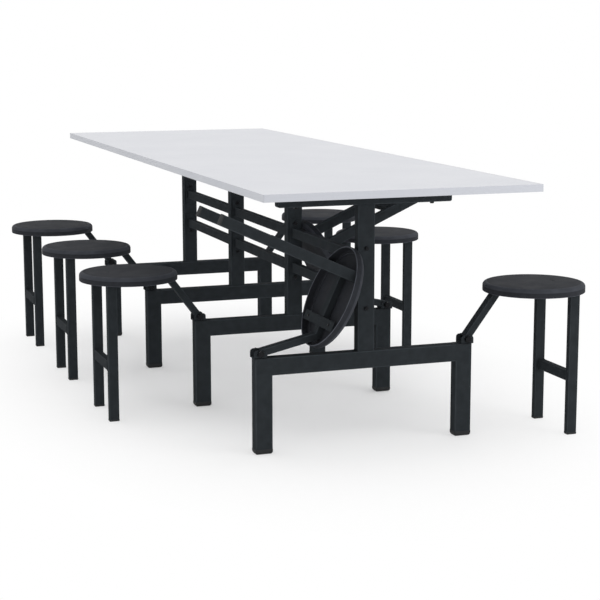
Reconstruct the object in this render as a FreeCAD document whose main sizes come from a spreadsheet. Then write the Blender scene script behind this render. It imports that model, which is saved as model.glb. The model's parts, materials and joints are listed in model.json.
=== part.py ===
import FreeCAD, Part
import math
import os
import re
import Sketcher
from FreeCAD import Placement, Rotation, Vector

# Canteen table with eight stools that fold in under the top.
# Millimetres. +X across the table, +Y along it, +Z up, origin on the floor at its centre.
# Four welded frames stand side by side along Y; each carries a stool at its left (-X) and right (+X).

# ------------------------------------------------------------------ driving dimensions
# alias, value, meaning
SIZES = (
    ("table_height", 754, "floor to the top of the board"),
    ("board_long", 2400, "board along Y, with its edge band"),
    ("board_wide", 790, "board along X, with its edge band"),
    ("board_thick", 20, "board thickness"),
    ("band_thick", 1.5, "edge band thickness"),
    ("board_corner", 4, "radius of the board's four corners"),
    ("frame_pitch", 600, "one frame to the next"),
    ("leg_reach", 302, "table centre to the middle of a leg"),
    ("leg_wide", 50, "leg tube along X"),
    ("leg_deep", 35, "leg and beam tubes along Y"),
    ("leg_corner", 3, "outer corner radius of the leg and beam tubes"),
    ("frame_wall", 2, "wall of the frame tubes"),
    ("beam_top", 272, "height of the beam's and the legs' top"),
    ("beam_high", 50, "beam tube height"),
    ("mast_wide", 50, "post tube along X"),
    ("mast_deep", 30, "post and crossbar tubes along Y"),
    ("mast_corner", 2.5, "outer corner radius of the post and crossbar tubes"),
    ("crossbar_long", 518, "crossbar length"),
    ("crossbar_high", 50, "crossbar height"),
    ("end_plate", 3, "plate that closes each end of the crossbar"),
    ("top_screw_reach", 203, "table centre to a board screw"),
    ("top_screw_deep", 15, "length of a board screw inside the board"),
    ("rail_high", 30, "rail tube height"),
    ("rail_thick", 20, "rail tube thickness"),
    ("rail_upper", 532, "middle of the upper rails"),
    ("rail_lower", 423, "middle of the lower rails"),
    ("rail_bolt_offset", 30, "rail's middle to its bolt"),
    ("plate_wide", 33, "rail end plate along X"),
    ("plate_high", 81, "rail end plate height"),
    ("plate_thick", 4, "rail end plate thickness"),
    ("plate_offset", 5, "rail's middle to its end plate's middle"),
    ("hinge_reach", 312, "table centre to a stool's hinge axis"),
    ("hinge_rise", 13.5, "beam top to the hinge axis"),
    ("fold_angle", 114.4, "turn of a stool from the floor to folded in"),
    ("bracket_wide", 38, "hinge bracket along X"),
    ("bracket_high", 23.5, "hinge bracket height"),
    ("bracket_deep", 38, "hinge bracket over both ears"),
    ("bracket_gap", 32, "space between the ears"),
    ("bracket_base", 2.5, "bracket base thickness"),
    ("bracket_bevel", 9, "cut corners of the ears"),
    ("stop_high", 6.1, "top of the web that the folded arm rests on"),
    ("stop_thick", 4, "that web's thickness"),
    ("barrel_bore", 5.05, "radius of the stool's hinge bore"),
    ("barrel_radius", 10.5, "outer radius of the stool's hinge barrel"),
    ("barrel_long", 31, "hinge barrel length"),
    ("tube_wide", 30, "stool tube, long side"),
    ("tube_thick", 20, "stool tube, short side"),
    ("tube_wall", 1.5, "stool tube wall"),
    ("tube_corner", 2, "stool tube corner radius"),
    ("arm_angle", 53, "slope of the arm from the hinge"),
    ("seat_radius", 148.5, "seat radius"),
    ("seat_reach", 218.4, "hinge axis to the seat's centre"),
    ("seat_top", 437.5, "height of the seat's top"),
    ("seat_thick", 26, "seat rim height"),
    ("seat_wall", 3.8, "seat rim wall"),
    ("seat_floor", 3, "seat top wall"),
    ("seat_round", 11, "rounding of the seat's top edge"),
    ("seat_inner_round", 3, "rounding inside the seat's rim"),
    ("seat_lip", 1.2, "rounding of the rim's lower edge"),
    ("seat_ring", 133.5, "radius of the fine groove in the seat's top"),
    ("seat_ring_wide", 2, "width of that groove"),
    ("seat_ring_deep", 0.5, "depth of that groove"),
    ("boss_radius", 6, "radius of the seat's screw bosses"),
    ("stool_leg_reach", 295, "hinge axis to the middle of the stool's legs"),
    ("stool_leg_side", 101, "frame's middle to the middle of a stool leg"),
    ("stool_leg_gap", 5, "stool leg's top to the underside of the seat"),
    ("stool_bar_low", 153, "height of the underside of the stool's lower bar"),
    ("strap_reach", 145.4, "hinge axis to the middle of the strap"),
    ("strap_long", 222, "strap length"),
    ("strap_wide", 28, "strap width"),
    ("strap_thick", 3, "strap thickness"),
    ("strap_screw_side", 80, "frame's middle to a strap screw"),
    ("foot_high", 14, "visible height of a frame's foot cap"),
    ("foot_lip", 0.7, "how far that cap stands out past the tube"),
    ("foot_bevel", 6, "how far that cap draws in at its tread"),
    ("foot_bevel_high", 9, "height over which it draws in"),
    ("stool_foot_high", 6, "visible height of a stool's foot cap"),
    ("stool_foot_lip", 0.4, "how far that cap stands out past the tube"),
    ("stool_foot_bevel", 2, "how far that cap draws in at its tread"),
    ("stool_foot_bevel_high", 3, "height over which it draws in"),
    ("tread_corner", 1, "corner radius of the foot caps' treads"),
    ("plug_gap", 0.2, "play of a plug inside its tube"),
    ("plug_high", 14, "height of a plug inside its tube"),
    ("hinge_bolt_shank", 5, "hinge bolt, shank radius"),
    ("hinge_bolt_flats", 17, "hinge bolt, across the flats"),
    ("hinge_bolt_head", 6.4, "hinge bolt, head height"),
    ("hinge_bolt_washer", 10, "hinge bolt, washer radius"),
    ("hinge_bolt_washer_thick", 2, "hinge bolt, washer thickness"),
    ("rail_bolt_shank", 3, "rail bolt, shank radius"),
    ("rail_bolt_flats", 10, "rail bolt, across the flats"),
    ("rail_bolt_head", 4, "rail bolt, head height"),
    ("rail_bolt_washer", 6, "rail bolt, washer radius"),
    ("rail_bolt_washer_thick", 1.2, "rail bolt, washer thickness"),
    ("top_screw_shank", 3, "board screw, shank radius"),
    ("top_screw_flats", 10, "board screw, across the flats"),
    ("top_screw_head", 4, "board screw, head height"),
    ("top_screw_washer", 7.5, "board screw, washer radius"),
    ("top_screw_washer_thick", 1.2, "board screw, washer thickness"),
    ("nut_ratio", 1.25, "height of a nut over its bolt's head height"),
    ("bolt_tip", 2, "length of a bolt past its nut"),
    ("strap_screw_shank", 2, "strap screw, shank radius"),
    ("strap_screw_head", 4.6, "strap screw, head radius"),
    ("strap_screw_head_high", 2.4, "strap screw, head height"),
    ("strap_screw_deep", 10, "length of a strap screw inside its boss"),
    ("hole_play", 0.25, "radial play of a fastener in its hole"),
    ("pilot_play", 0.03, "radial play of a screw in its pilot hole"),
    ("pilot_extra", 1, "depth of a pilot hole past its screw"),
)
ALIASES = {alias for alias, value, meaning in SIZES}

FRAMES = (1, 2, 3, 4)
SIDES = ("l", "r")
FOLDED_STOOLS = ("1l", "2r")

# ALONG_Y lays a piece made along +Z down along +Y
ALONG_Y = Rotation(Vector(1, 0, 0), -90)
UPSIDE_DOWN = Rotation(Vector(0, 1, 0), 180)
HALF_TURN = Rotation(Vector(0, 0, 1), 180)

doc = FreeCAD.newDocument("canteen_table")
sheet = doc.addObject("Spreadsheet::Sheet", "Sizes")
for row, (alias, value, meaning) in enumerate(SIZES, start=1):
    sheet.set(f"A{row}", meaning)
    sheet.set(f"B{row}", str(value))
    sheet.setAlias(f"B{row}", alias)
doc.recompute()


# ------------------------------------------------------------------ small helpers
def size(alias):
    """The value of one cell of the sheet."""
    return float(getattr(sheet, alias))


def formula(text):
    """An expression written in plain aliases, with each of them pointed at the sheet."""
    def point(word):
        return "Sizes." + word.group() if word.group() in ALIASES else word.group()

    return re.sub(r"[a-z_]+", point, text)


def bind(thing, **expressions):
    """Bind properties of an object to formulas."""
    for name, text in expressions.items():
        thing.setExpression(name, formula(text))


def place(thing, across="0", along="0", up="0", turn=Rotation()):
    """Put an object at a place given by formulas, turned by a fixed turn."""
    thing.Placement = Placement(Vector(), turn)
    for axis, text in (("x", across), ("y", along), ("z", up)):
        thing.setExpression("Placement.Base." + axis, formula(text))


def frame_y(frame):
    """The place of a frame along the table, as a formula."""
    return f"{frame - 2.5} * frame_pitch"


def new_body(name):
    return doc.addObject("PartDesign::Body", name)


def new_sketch(body, name, plane, lift="0"):
    """A sketch on one of the body's own origin planes, moved along its normal by lift."""
    sketch = body.newObject("Sketcher::SketchObject", name)
    support = next(feature for feature in body.Origin.OriginFeatures if feature.Role == plane)
    sketch.AttachmentSupport = [(support, "")]
    sketch.MapMode = "FlatFace"
    sketch.setExpression("AttachmentOffset.Base.z", formula(lift))
    return sketch


def dimension(sketch, kind, name, text, *where):
    """A named dimension of a sketch, bound to a formula. where ends with its first value."""
    index = sketch.addConstraint(Sketcher.Constraint(kind, *where))
    sketch.renameConstraint(index, name)
    sketch.setExpression("Constraints." + name, formula(text))


def rounded_rectangle(sketch, name, wide, high, corner, lift="0"):
    """A rectangle with round corners, its middle on the sketch's vertical axis at lift."""
    half_wide, half_high, radius = 20, 12, 2
    corners = ((1, 1), (-1, 1), (-1, -1), (1, -1))
    centres = [Vector(x * (half_wide - radius), y * (half_high - radius), 0) for x, y in corners]
    up = Vector(0, 0, 1)
    arcs = [
        sketch.addGeometry(
            Part.ArcOfCircle(Part.Circle(centre, up, radius), turn * math.pi / 2, (turn + 1) * math.pi / 2)
        )
        for turn, centre in enumerate(centres)
    ]
    lines = []
    for turn in range(4):
        quarter = Rotation(up, 90 * (turn + 1)).multVec(Vector(radius, 0, 0))
        start = centres[turn] + quarter
        end = centres[(turn + 1) % 4] + quarter
        lines.append(sketch.addGeometry(Part.LineSegment(start, end)))
    for turn in range(4):
        sketch.addConstraint(Sketcher.Constraint("Tangent", arcs[turn], 2, lines[turn], 1))
        sketch.addConstraint(Sketcher.Constraint("Tangent", lines[turn], 2, arcs[(turn + 1) % 4], 1))
        sketch.addConstraint(Sketcher.Constraint("Vertical" if turn % 2 else "Horizontal", lines[turn]))
    for turn in range(1, 4):
        sketch.addConstraint(Sketcher.Constraint("Equal", arcs[0], arcs[turn]))
    middle = sketch.addGeometry(Part.Point(Vector(0, 0, 0)), True)
    sketch.addConstraint(Sketcher.Constraint("Symmetric", arcs[0], 3, arcs[2], 3, middle, 1))
    if lift == "0":
        sketch.addConstraint(Sketcher.Constraint("Coincident", middle, 1, -1, 1))
    else:
        sketch.addConstraint(Sketcher.Constraint("PointOnObject", middle, 1, -2))
        dimension(sketch, "DistanceY", name + "_lift", lift, -1, 1, middle, 1, 1.0)
    dimension(sketch, "DistanceX", name + "_wide", wide, lines[1], 1, lines[3], 1, 2.0 * half_wide)
    dimension(sketch, "DistanceY", name + "_high", high, lines[2], 1, lines[0], 1, 2.0 * half_high)
    dimension(sketch, "Radius", name + "_corner", corner, arcs[0], float(radius))


def outline(sketch, points):
    """A closed outline of straight lines. Each point is its name and two formulas, both not negative."""
    spread = [Vector(1.0 + 7 * n, 1.0 + 5 * n, 0) for n in range(len(points))]
    lines = [
        sketch.addGeometry(Part.LineSegment(start, end))
        for start, end in zip(spread, spread[1:] + spread[:1])
    ]
    for line, following in zip(lines, lines[1:] + lines[:1]):
        sketch.addConstraint(Sketcher.Constraint("Coincident", line, 2, following, 1))
    for line, (name, across, up) in zip(lines, points):
        for kind, text, axis in (("DistanceX", across, -2), ("DistanceY", up, -1)):
            if text == "0":
                sketch.addConstraint(Sketcher.Constraint("PointOnObject", line, 1, axis))
            else:
                dimension(sketch, kind, f"{name}_{kind}", text, -1, 1, line, 1, 5.0)


def circles(sketch, radius, centres):
    """Equal circles. Each centre is two formulas, the value 0 lying on an axis."""
    first = None
    for number, (across, up) in enumerate(centres):
        circle = sketch.addGeometry(Part.Circle(Vector(10, 10, 0), Vector(0, 0, 1), 3))
        for kind, text, axis in (("DistanceX", across, -2), ("DistanceY", up, -1)):
            if text == "0":
                sketch.addConstraint(Sketcher.Constraint("PointOnObject", circle, 3, axis))
            else:
                dimension(sketch, kind, f"circle_{number}_{kind}", text, -1, 1, circle, 3, 10.0)
        if first is None:
            first = circle
            dimension(sketch, "Radius", "radius", radius, circle, 3.0)
        else:
            sketch.addConstraint(Sketcher.Constraint("Equal", first, circle))


def pad(body, sketch, length, centred=False, backward=False):
    """Grow a sketch into the body."""
    feature = body.newObject("PartDesign::Pad", sketch.Name + "_pad")
    feature.Profile = sketch
    feature.Midplane = centred
    feature.Reversed = backward
    bind(feature, Length=length)
    sketch.Visibility = False
    doc.recompute()
    return feature


def cut(body, sketch, length=None, centred=False, backward=False):
    """Cut a sketch out of the body, right through it if no length is given."""
    before = body.Shape.Volume
    feature = body.newObject("PartDesign::Pocket", sketch.Name + "_cut")
    feature.Profile = sketch
    feature.Midplane = centred
    feature.Reversed = backward
    if length is None:
        feature.Type = "ThroughAll"
    else:
        bind(feature, Length=length)
    doc.recompute()
    if body.Shape.Volume >= before:
        raise RuntimeError(f"{feature.Label} cuts nothing")
    return feature


def dress(body, kind, amount, chosen):
    """A Fillet or Chamfer on every edge that chosen accepts."""
    base = body.Tip
    names = [f"Edge{n}" for n, edge in enumerate(base.Shape.Edges, start=1) if chosen(edge)]
    feature = body.newObject("PartDesign::" + kind, kind)
    feature.Base = (base, names)
    bind(feature, **{"Radius" if kind == "Fillet" else "Size": amount})
    doc.recompute()
    return feature


def is_level(edge, height):
    """Whether an edge lies flat at a height."""
    box = edge.BoundBox
    return abs(box.ZMin - height) < 1e-4 and abs(box.ZMax - height) < 1e-4


def group(label, pieces):
    """One named piece made of one or more solids, each used where it is placed."""
    compound = doc.addObject("Part::Compound", label)
    compound.Label = label
    compound.Links = pieces
    return compound


def tube(name, plane, wide, high, wall, corner, length, centred=False, backward=False, lift="0"):
    """A rectangular tube open at both ends, along the normal of the plane."""
    body = new_body(name)
    section = new_sketch(body, name + "_section", plane)
    rounded_rectangle(section, "outer", wide, high, corner, lift)
    inner_wide, inner_high = f"{wide} - 2 * {wall}", f"{high} - 2 * {wall}"
    rounded_rectangle(section, "inner", inner_wide, inner_high, f"{corner} - {wall}", lift)
    pad(body, section, length, centred, backward)
    return body


# ------------------------------------------------------------------ fasteners
# kind is the start of a fastener's aliases: hinge_bolt, rail_bolt or top_screw.
def hexagon(name, kind, height):
    """A hexagonal prism on z = 0."""
    prism = doc.addObject("Part::Prism", name)
    prism.Polygon = 6
    bind(prism, Circumradius=f"{kind}_flats / sqrt(3)", Height=height)
    return prism


def cylinder(name, radius, height):
    """A cylinder on z = 0."""
    shape = doc.addObject("Part::Cylinder", name)
    bind(shape, Radius=radius, Height=height)
    return shape


def fuse(name, shapes):
    """One solid made of several that meet."""
    whole = doc.addObject("Part::MultiFuse", name)
    whole.Shapes = shapes
    return whole


def hex_bolt(name, kind, length):
    """A hexagon bolt with a washer under its head: it passes through z = 0 to length."""
    washer = cylinder(name + "_washer", f"{kind}_washer", f"{kind}_washer_thick")
    place(washer, up=f"-{kind}_washer_thick")
    head = hexagon(name + "_head", kind, f"{kind}_head")
    place(head, up=f"-{kind}_washer_thick - {kind}_head")
    shank = cylinder(name + "_shank", f"{kind}_shank", f"{length} + {kind}_washer_thick")
    place(shank, up=f"-{kind}_washer_thick")
    return fuse(name, [washer, head, shank])


def hex_nut(name, kind, up):
    """A hexagon nut with a washer below it, resting on the height up."""
    nut_high = f"{kind}_head * nut_ratio"
    washer = cylinder(name + "_washer", f"{kind}_washer", f"{kind}_washer_thick")
    body = hexagon(name + "_hexagon", kind, nut_high)
    place(body, up=f"{kind}_washer_thick")
    nut = doc.addObject("Part::Cut", name)
    nut.Base = fuse(name + "_blank", [washer, body])
    nut.Tool = cylinder(name + "_bore", f"{kind}_shank", f"{kind}_washer_thick + {nut_high}")
    place(nut, up=up)
    return nut


def through_bolt(name, kind, grip):
    """A bolt with its nut, clamping the space from z = 0 to grip."""
    length = f"{grip} + {kind}_washer_thick + {kind}_head * nut_ratio + bolt_tip"
    return [hex_bolt(name, kind, length), hex_nut(name + "_nut", kind, grip)]


# ------------------------------------------------------------------ table top
def make_board():
    """The laminated board, with a pilot hole for each screw."""
    body = new_body("board")
    face = new_sketch(body, "board_face", "XY_Plane")
    rounded_rectangle(
        face,
        "board",
        "board_wide - 2 * band_thick",
        "board_long - 2 * band_thick",
        "board_corner - band_thick",
    )
    pad(body, face, "board_thick")
    pilots = new_sketch(body, "board_pilots", "XY_Plane")
    circles(
        pilots,
        "top_screw_shank + pilot_play",
        [(f"{side} * top_screw_reach", frame_y(frame)) for frame in FRAMES for side in (-1, 1)],
    )
    cut(body, pilots, "top_screw_deep + pilot_extra", backward=True)
    node = group("tabletop", [body])
    place(node, up="table_height - board_thick")
    return node


def make_band():
    """The plastic band glued round the board's four edges."""
    body = tube(
        "band",
        "XY_Plane",
        "board_wide",
        "board_long",
        "band_thick",
        "board_corner",
        "board_thick",
    )
    node = group("tabletop_edge", [body])
    place(node, up="table_height - board_thick")
    return node


def make_top_screws():
    """Two screws up through each crossbar into the board."""
    screw = hex_bolt("top_screw", "top_screw", "crossbar_high + top_screw_deep")
    crossbar_foot = "table_height - board_thick - crossbar_high"
    copies = []
    for frame in FRAMES:
        for side, sign in zip(SIDES, (-1, 1)):
            copy = group(f"top_screw_{frame}{side}", [screw])
            place(copy, f"{sign} * top_screw_reach", frame_y(frame), crossbar_foot)
            copies.append(copy)
    return group("tabletop_screws", copies)


# ------------------------------------------------------------------ frames
def make_leg_tube():
    """A leg with its closed top, standing on its foot cap."""
    body = new_body("leg_tube")
    outer = new_sketch(body, "leg_outer", "XY_Plane", "foot_high")
    rounded_rectangle(outer, "outer", "leg_wide", "leg_deep", "leg_corner")
    pad(body, outer, "beam_top - foot_high")
    inner = new_sketch(body, "leg_inner", "XY_Plane", "foot_high")
    rounded_rectangle(
        inner,
        "inner",
        "leg_wide - 2 * frame_wall",
        "leg_deep - 2 * frame_wall",
        "leg_corner - frame_wall",
    )
    cut(body, inner, "beam_top - foot_high - frame_wall", backward=True)
    place(body, "leg_reach")
    return body


def make_bracket():
    """The hinge bracket: a base, two ears with cut corners, and the web that stops the folded arm."""
    body = new_body("hinge_bracket")
    side = new_sketch(body, "bracket_side", "XZ_Plane")
    outline(side, (
        ("base_in", "0", "0"),
        ("base_out", "bracket_wide", "0"),
        ("ear_out", "bracket_wide", "bracket_high - bracket_bevel"),
        ("top_out", "bracket_wide - bracket_bevel", "bracket_high"),
        ("top_in", "bracket_bevel", "bracket_high"),
        ("ear_in", "0", "bracket_high - bracket_bevel"),
    ))
    pad(body, side, "bracket_deep", centred=True)
    slot = new_sketch(body, "bracket_slot", "XY_Plane", "stop_high")
    rounded_rectangle(slot, "slot", "3 * bracket_wide", "bracket_gap", "1")
    cut(body, slot, "bracket_high", backward=True)
    well = new_sketch(body, "bracket_well", "XZ_Plane")
    outline(well, (
        ("web_foot", "stop_thick", "bracket_base"),
        ("well_foot", "2 * bracket_wide", "bracket_base"),
        ("well_top", "2 * bracket_wide", "bracket_high"),
        ("web_top", "stop_thick", "bracket_high"),
    ))
    cut(body, well, "bracket_gap", centred=True)
    eye = new_sketch(body, "bracket_eye", "XZ_Plane")
    circles(eye, "hinge_bolt_shank + hole_play", [("bracket_wide / 2", "hinge_rise")])
    cut(body, eye, "2 * bracket_deep", centred=True)
    place(body, "hinge_reach - bracket_wide / 2", up="beam_top")
    return body


def make_legs():
    """Each leg with the hinge bracket welded on its top."""
    pieces = [make_leg_tube(), make_bracket()]
    nodes = []
    for frame in FRAMES:
        for side in SIDES:
            node = group(f"leg_{frame}{side}", pieces)
            place(node, along=frame_y(frame), turn=HALF_TURN if side == "l" else Rotation())
            nodes.append(node)
    return nodes


def make_beams():
    """The low beams, each welded between the two legs of a frame."""
    body = tube(
        "beam",
        "YZ_Plane",
        "leg_deep",
        "beam_high",
        "frame_wall",
        "leg_corner",
        "2 * leg_reach - leg_wide",
        centred=True,
    )
    nodes = []
    for frame in FRAMES:
        node = group(f"beam_{frame}", [body])
        place(node, along=frame_y(frame), up="beam_top - beam_high / 2")
        nodes.append(node)
    return nodes


def make_masts():
    """The posts, each with the crossbar that carries the board and the plates that close its ends."""
    post = tube(
        "post",
        "XY_Plane",
        "mast_wide",
        "mast_deep",
        "frame_wall",
        "mast_corner",
        "table_height - board_thick - crossbar_high - beam_top",
    )
    holes = new_sketch(post, "post_holes", "XZ_Plane")
    circles(holes, "rail_bolt_shank + hole_play", [
        ("0", "rail_upper + rail_bolt_offset - beam_top"),
        ("0", "rail_lower - rail_bolt_offset - beam_top"),
    ])
    cut(post, holes, "2 * mast_deep", centred=True)
    place(post, up="beam_top")

    crossbar = tube(
        "crossbar",
        "YZ_Plane",
        "mast_deep",
        "crossbar_high",
        "frame_wall",
        "mast_corner",
        "crossbar_long",
        centred=True,
    )
    screw_holes = new_sketch(crossbar, "crossbar_holes", "XY_Plane")
    circles(
        screw_holes,
        "top_screw_shank + hole_play",
        [(f"{sign} * top_screw_reach", "0") for sign in (-1, 1)],
    )
    cut(crossbar, screw_holes, "2 * crossbar_high", centred=True)
    place(crossbar, up="table_height - board_thick - crossbar_high / 2")

    plate = new_body("crossbar_plate")
    face = new_sketch(plate, "crossbar_plate_face", "YZ_Plane")
    rounded_rectangle(
        face,
        "plate",
        "mast_deep - 2 * frame_wall",
        "crossbar_high - 2 * frame_wall",
        "mast_corner - frame_wall",
    )
    pad(plate, face, "end_plate")
    plates = []
    for side, across in (("l", "-crossbar_long / 2"), ("r", "crossbar_long / 2 - end_plate")):
        copy = group("crossbar_plate_" + side, [plate])
        place(copy, across, up="table_height - board_thick - crossbar_high / 2")
        plates.append(copy)

    nodes = []
    for frame in FRAMES:
        node = group(f"mast_{frame}", [post, crossbar] + plates)
        place(node, along=frame_y(frame))
        nodes.append(node)
    return nodes


def make_rails():
    """The rails between neighbouring posts, each with a bolted plate at either end."""
    body = tube(
        "rail",
        "XZ_Plane",
        "rail_thick",
        "rail_high",
        "tube_wall",
        "tube_corner",
        "frame_pitch - mast_deep - 2 * plate_thick",
        centred=True,
    )
    plate = new_body("rail_plate")
    face = new_sketch(plate, "rail_plate_face", "XZ_Plane")
    rounded_rectangle(face, "plate", "plate_wide", "plate_high", "tube_corner", "plate_offset")
    pad(plate, face, "plate_thick", centred=True)
    hole = new_sketch(plate, "rail_plate_hole", "XZ_Plane")
    circles(hole, "rail_bolt_shank + hole_play", [("0", "rail_bolt_offset")])
    cut(plate, hole, "2 * plate_thick", centred=True)
    plates = []
    for end, sign in (("near", -1), ("far", 1)):
        copy = group("rail_plate_" + end, [plate])
        place(copy, along=f"{sign} * (frame_pitch - mast_deep - plate_thick) / 2")
        plates.append(copy)

    nodes = []
    for frame in FRAMES[:-1]:
        middle = f"{frame - 2} * frame_pitch"
        for name, height, turn in (("upper", "rail_upper", Rotation()), ("lower", "rail_lower", UPSIDE_DOWN)):
            node = group(f"rail_{name}_{frame}{frame + 1}", [body] + plates)
            place(node, along=middle, up=height, turn=turn)
            nodes.append(node)
    return nodes


def make_rail_bolts():
    """Two through bolts in each post: past one plate on the end posts, past two on the others."""
    end_bolt = through_bolt("rail_bolt_end", "rail_bolt", "mast_deep + plate_thick")
    middle_bolt = through_bolt("rail_bolt_middle", "rail_bolt", "mast_deep + 2 * plate_thick")
    heights = ("rail_upper + rail_bolt_offset", "rail_lower - rail_bolt_offset")
    copies = []
    for frame in FRAMES:
        pieces = end_bolt if frame in (FRAMES[0], FRAMES[-1]) else middle_bolt
        start = "mast_deep / 2" if frame == FRAMES[0] else "mast_deep / 2 + plate_thick"
        for name, height in zip(("upper", "lower"), heights):
            copy = group(f"rail_bolt_{frame}_{name}", pieces)
            place(copy, along=f"{frame_y(frame)} - ({start})", up=height, turn=ALONG_Y)
            copies.append(copy)
    return group("rail_bolts", copies)


def make_foot(name, wide, deep, wall, corner, kind):
    """A plastic foot cap, drawn in towards its tread, with the plug that holds it in its tube.

    kind is the start of the cap's aliases: foot or stool_foot.
    """
    body = new_body(name)
    around = f"{kind}_lip - {kind}_bevel"
    tread = new_sketch(body, name + "_tread", "XY_Plane")
    rounded_rectangle(tread, "tread", f"{wide} + 2 * ({around})", f"{deep} + 2 * ({around})", "tread_corner")
    full = (f"{wide} + 2 * {kind}_lip", f"{deep} + 2 * {kind}_lip", f"{corner} + {kind}_lip")
    waist = new_sketch(body, name + "_waist", "XY_Plane", f"{kind}_bevel_high")
    rounded_rectangle(waist, "waist", *full)
    lower = body.newObject("PartDesign::AdditiveLoft", name + "_lower")
    lower.Profile = tread
    lower.Sections = [waist]
    lower.Ruled = True
    doc.recompute()
    upper = new_sketch(body, name + "_upper", "XY_Plane", f"{kind}_bevel_high")
    rounded_rectangle(upper, "upper", *full)
    pad(body, upper, f"{kind}_high - {kind}_bevel_high")
    plug = new_sketch(body, name + "_plug", "XY_Plane", f"{kind}_high")
    play = f"2 * ({wall} + plug_gap)"
    rounded_rectangle(plug, "plug", f"{wide} - {play}", f"{deep} - {play}", f"{corner} - {wall}")
    pad(body, plug, "plug_high")
    return body


def make_leg_caps():
    """The foot caps of the eight legs."""
    body = make_foot("leg_foot", "leg_wide", "leg_deep", "frame_wall", "leg_corner", "foot")
    copies = []
    for frame in FRAMES:
        for side, sign in zip(SIDES, (-1, 1)):
            copy = group(f"leg_foot_{frame}{side}", [body])
            place(copy, f"{sign} * leg_reach", frame_y(frame))
            copies.append(copy)
    return group("leg_foot_caps", copies)


def make_hinge_bolts():
    """The bolt and nut that each stool turns on."""
    pieces = through_bolt("hinge_bolt", "hinge_bolt", "bracket_deep")
    copies = []
    for frame in FRAMES:
        for side, sign in zip(SIDES, (-1, 1)):
            copy = group(f"hinge_bolt_{frame}{side}", pieces)
            start = f"{frame_y(frame)} - bracket_deep / 2"
            place(copy, f"{sign} * hinge_reach", start, "beam_top + hinge_rise", ALONG_Y)
            copies.append(copy)
    return group("hinge_bolts", copies)


# ------------------------------------------------------------------ stools
# A stool is made standing, at the right of its frame, with the origin on its hinge axis:
# +X away from the table, +Z up. hinge_height is the floor to that axis.
HINGE_HEIGHT = "(beam_top + hinge_rise)"
PAN = f"(seat_top - seat_floor - {HINGE_HEIGHT})"
RIM = f"(seat_top - seat_thick - {HINGE_HEIGHT})"
STOOL_TUBE = ("tube_wall", "tube_corner")


def make_barrel():
    """The barrel that turns on the hinge bolt."""
    body = new_body("stool_barrel")
    ring = new_sketch(body, "barrel_ring", "XZ_Plane")
    circles(ring, "barrel_radius", [("0", "0")])
    pad(body, ring, "barrel_long", centred=True)
    bore = new_sketch(body, "barrel_bore_ring", "XZ_Plane")
    circles(bore, "barrel_bore", [("0", "0")])
    cut(body, bore, "2 * barrel_long", centred=True)
    return body


def make_arm():
    """The arm from the barrel to the seat: a rise and a level run, welded in a mitre."""
    rise = size("seat_top") - size("seat_floor") - size("tube_thick") / 2 - size("beam_top") - size("hinge_rise")
    knee = rise / math.tan(math.radians(size("arm_angle")))
    mitre = Rotation(Vector(0, -1, 0), size("arm_angle") / 2)

    riser = tube("rise_tube", "XY_Plane", "tube_thick", "tube_wide", *STOOL_TUBE,
                 f"{math.hypot(knee, rise)} + tube_thick")
    saddle = new_sketch(riser, "rise_saddle", "XZ_Plane")
    circles(saddle, "barrel_radius", [("0", "0")])
    cut(riser, saddle, "2 * tube_wide", centred=True)
    place(riser, turn=Rotation(Vector(0, 1, 0), 90 - size("arm_angle")))

    run = tube("run_tube", "YZ_Plane", "tube_wide", "tube_thick", *STOOL_TUBE,
               f"stool_leg_reach - tube_wide / 2 - ({knee} - tube_thick)")
    place(run, f"{knee} - tube_thick", up=f"{PAN} - tube_thick / 2")

    # A knife is a cube whose side lies on the mitre: it takes away what is past that plane.
    knife_size = 3 * size("tube_wide")
    pieces = []
    for name, whole, start in (("stool_rise", riser, 0), ("stool_run", run, -knife_size)):
        knife = doc.addObject("Part::Box", name + "_knife")
        bind(knife, Length="3 * tube_wide", Width="3 * tube_wide", Height="3 * tube_wide")
        corner = mitre.multVec(Vector(start, -knife_size / 2, -knife_size / 2))
        knife.Placement = Placement(Vector(knee, 0, rise) + corner, mitre)
        piece = doc.addObject("Part::Cut", name)
        piece.Base = whole
        piece.Tool = knife
        pieces.append(piece)
    return pieces


def make_stand():
    """The stool's two legs and the bars between them."""
    leg_high = "seat_top - seat_floor - stool_leg_gap - stool_foot_high"
    leg = tube("stool_leg", "XY_Plane", "tube_wide", "tube_thick", *STOOL_TUBE, leg_high)
    legs = []
    for name, sign in (("near", -1), ("far", 1)):
        copy = group("stool_leg_" + name, [leg])
        place(copy, "stool_leg_reach", f"{sign} * stool_leg_side", f"stool_foot_high - {HINGE_HEIGHT}")
        legs.append(copy)
    between = "2 * stool_leg_side - tube_thick"
    top_bar = tube("stool_top_bar", "XZ_Plane", "tube_wide", "tube_thick", *STOOL_TUBE, between, centred=True)
    place(top_bar, "stool_leg_reach", up=f"{PAN} - tube_thick / 2")
    low_bar = tube("stool_low_bar", "XZ_Plane", "tube_thick", "tube_wide", *STOOL_TUBE, between, centred=True)
    flush = "stool_leg_reach + tube_wide / 2 - tube_thick / 2"
    place(low_bar, flush, up=f"stool_bar_low + tube_wide / 2 - {HINGE_HEIGHT}")
    return legs + [top_bar, low_bar]


def make_strap():
    """The flat bar under the arm that the seat is screwed to."""
    body = new_body("stool_strap")
    face = new_sketch(body, "strap_face", "XY_Plane")
    rounded_rectangle(face, "strap", "strap_wide", "strap_long", "tube_corner")
    pad(body, face, "strap_thick")
    holes = new_sketch(body, "strap_holes", "XY_Plane")
    circles(
        holes,
        "strap_screw_shank + hole_play",
        [("0", f"{sign} * strap_screw_side") for sign in (-1, 1)],
    )
    cut(body, holes, "strap_thick", backward=True)
    place(body, "strap_reach", up=RIM)
    return body


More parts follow.
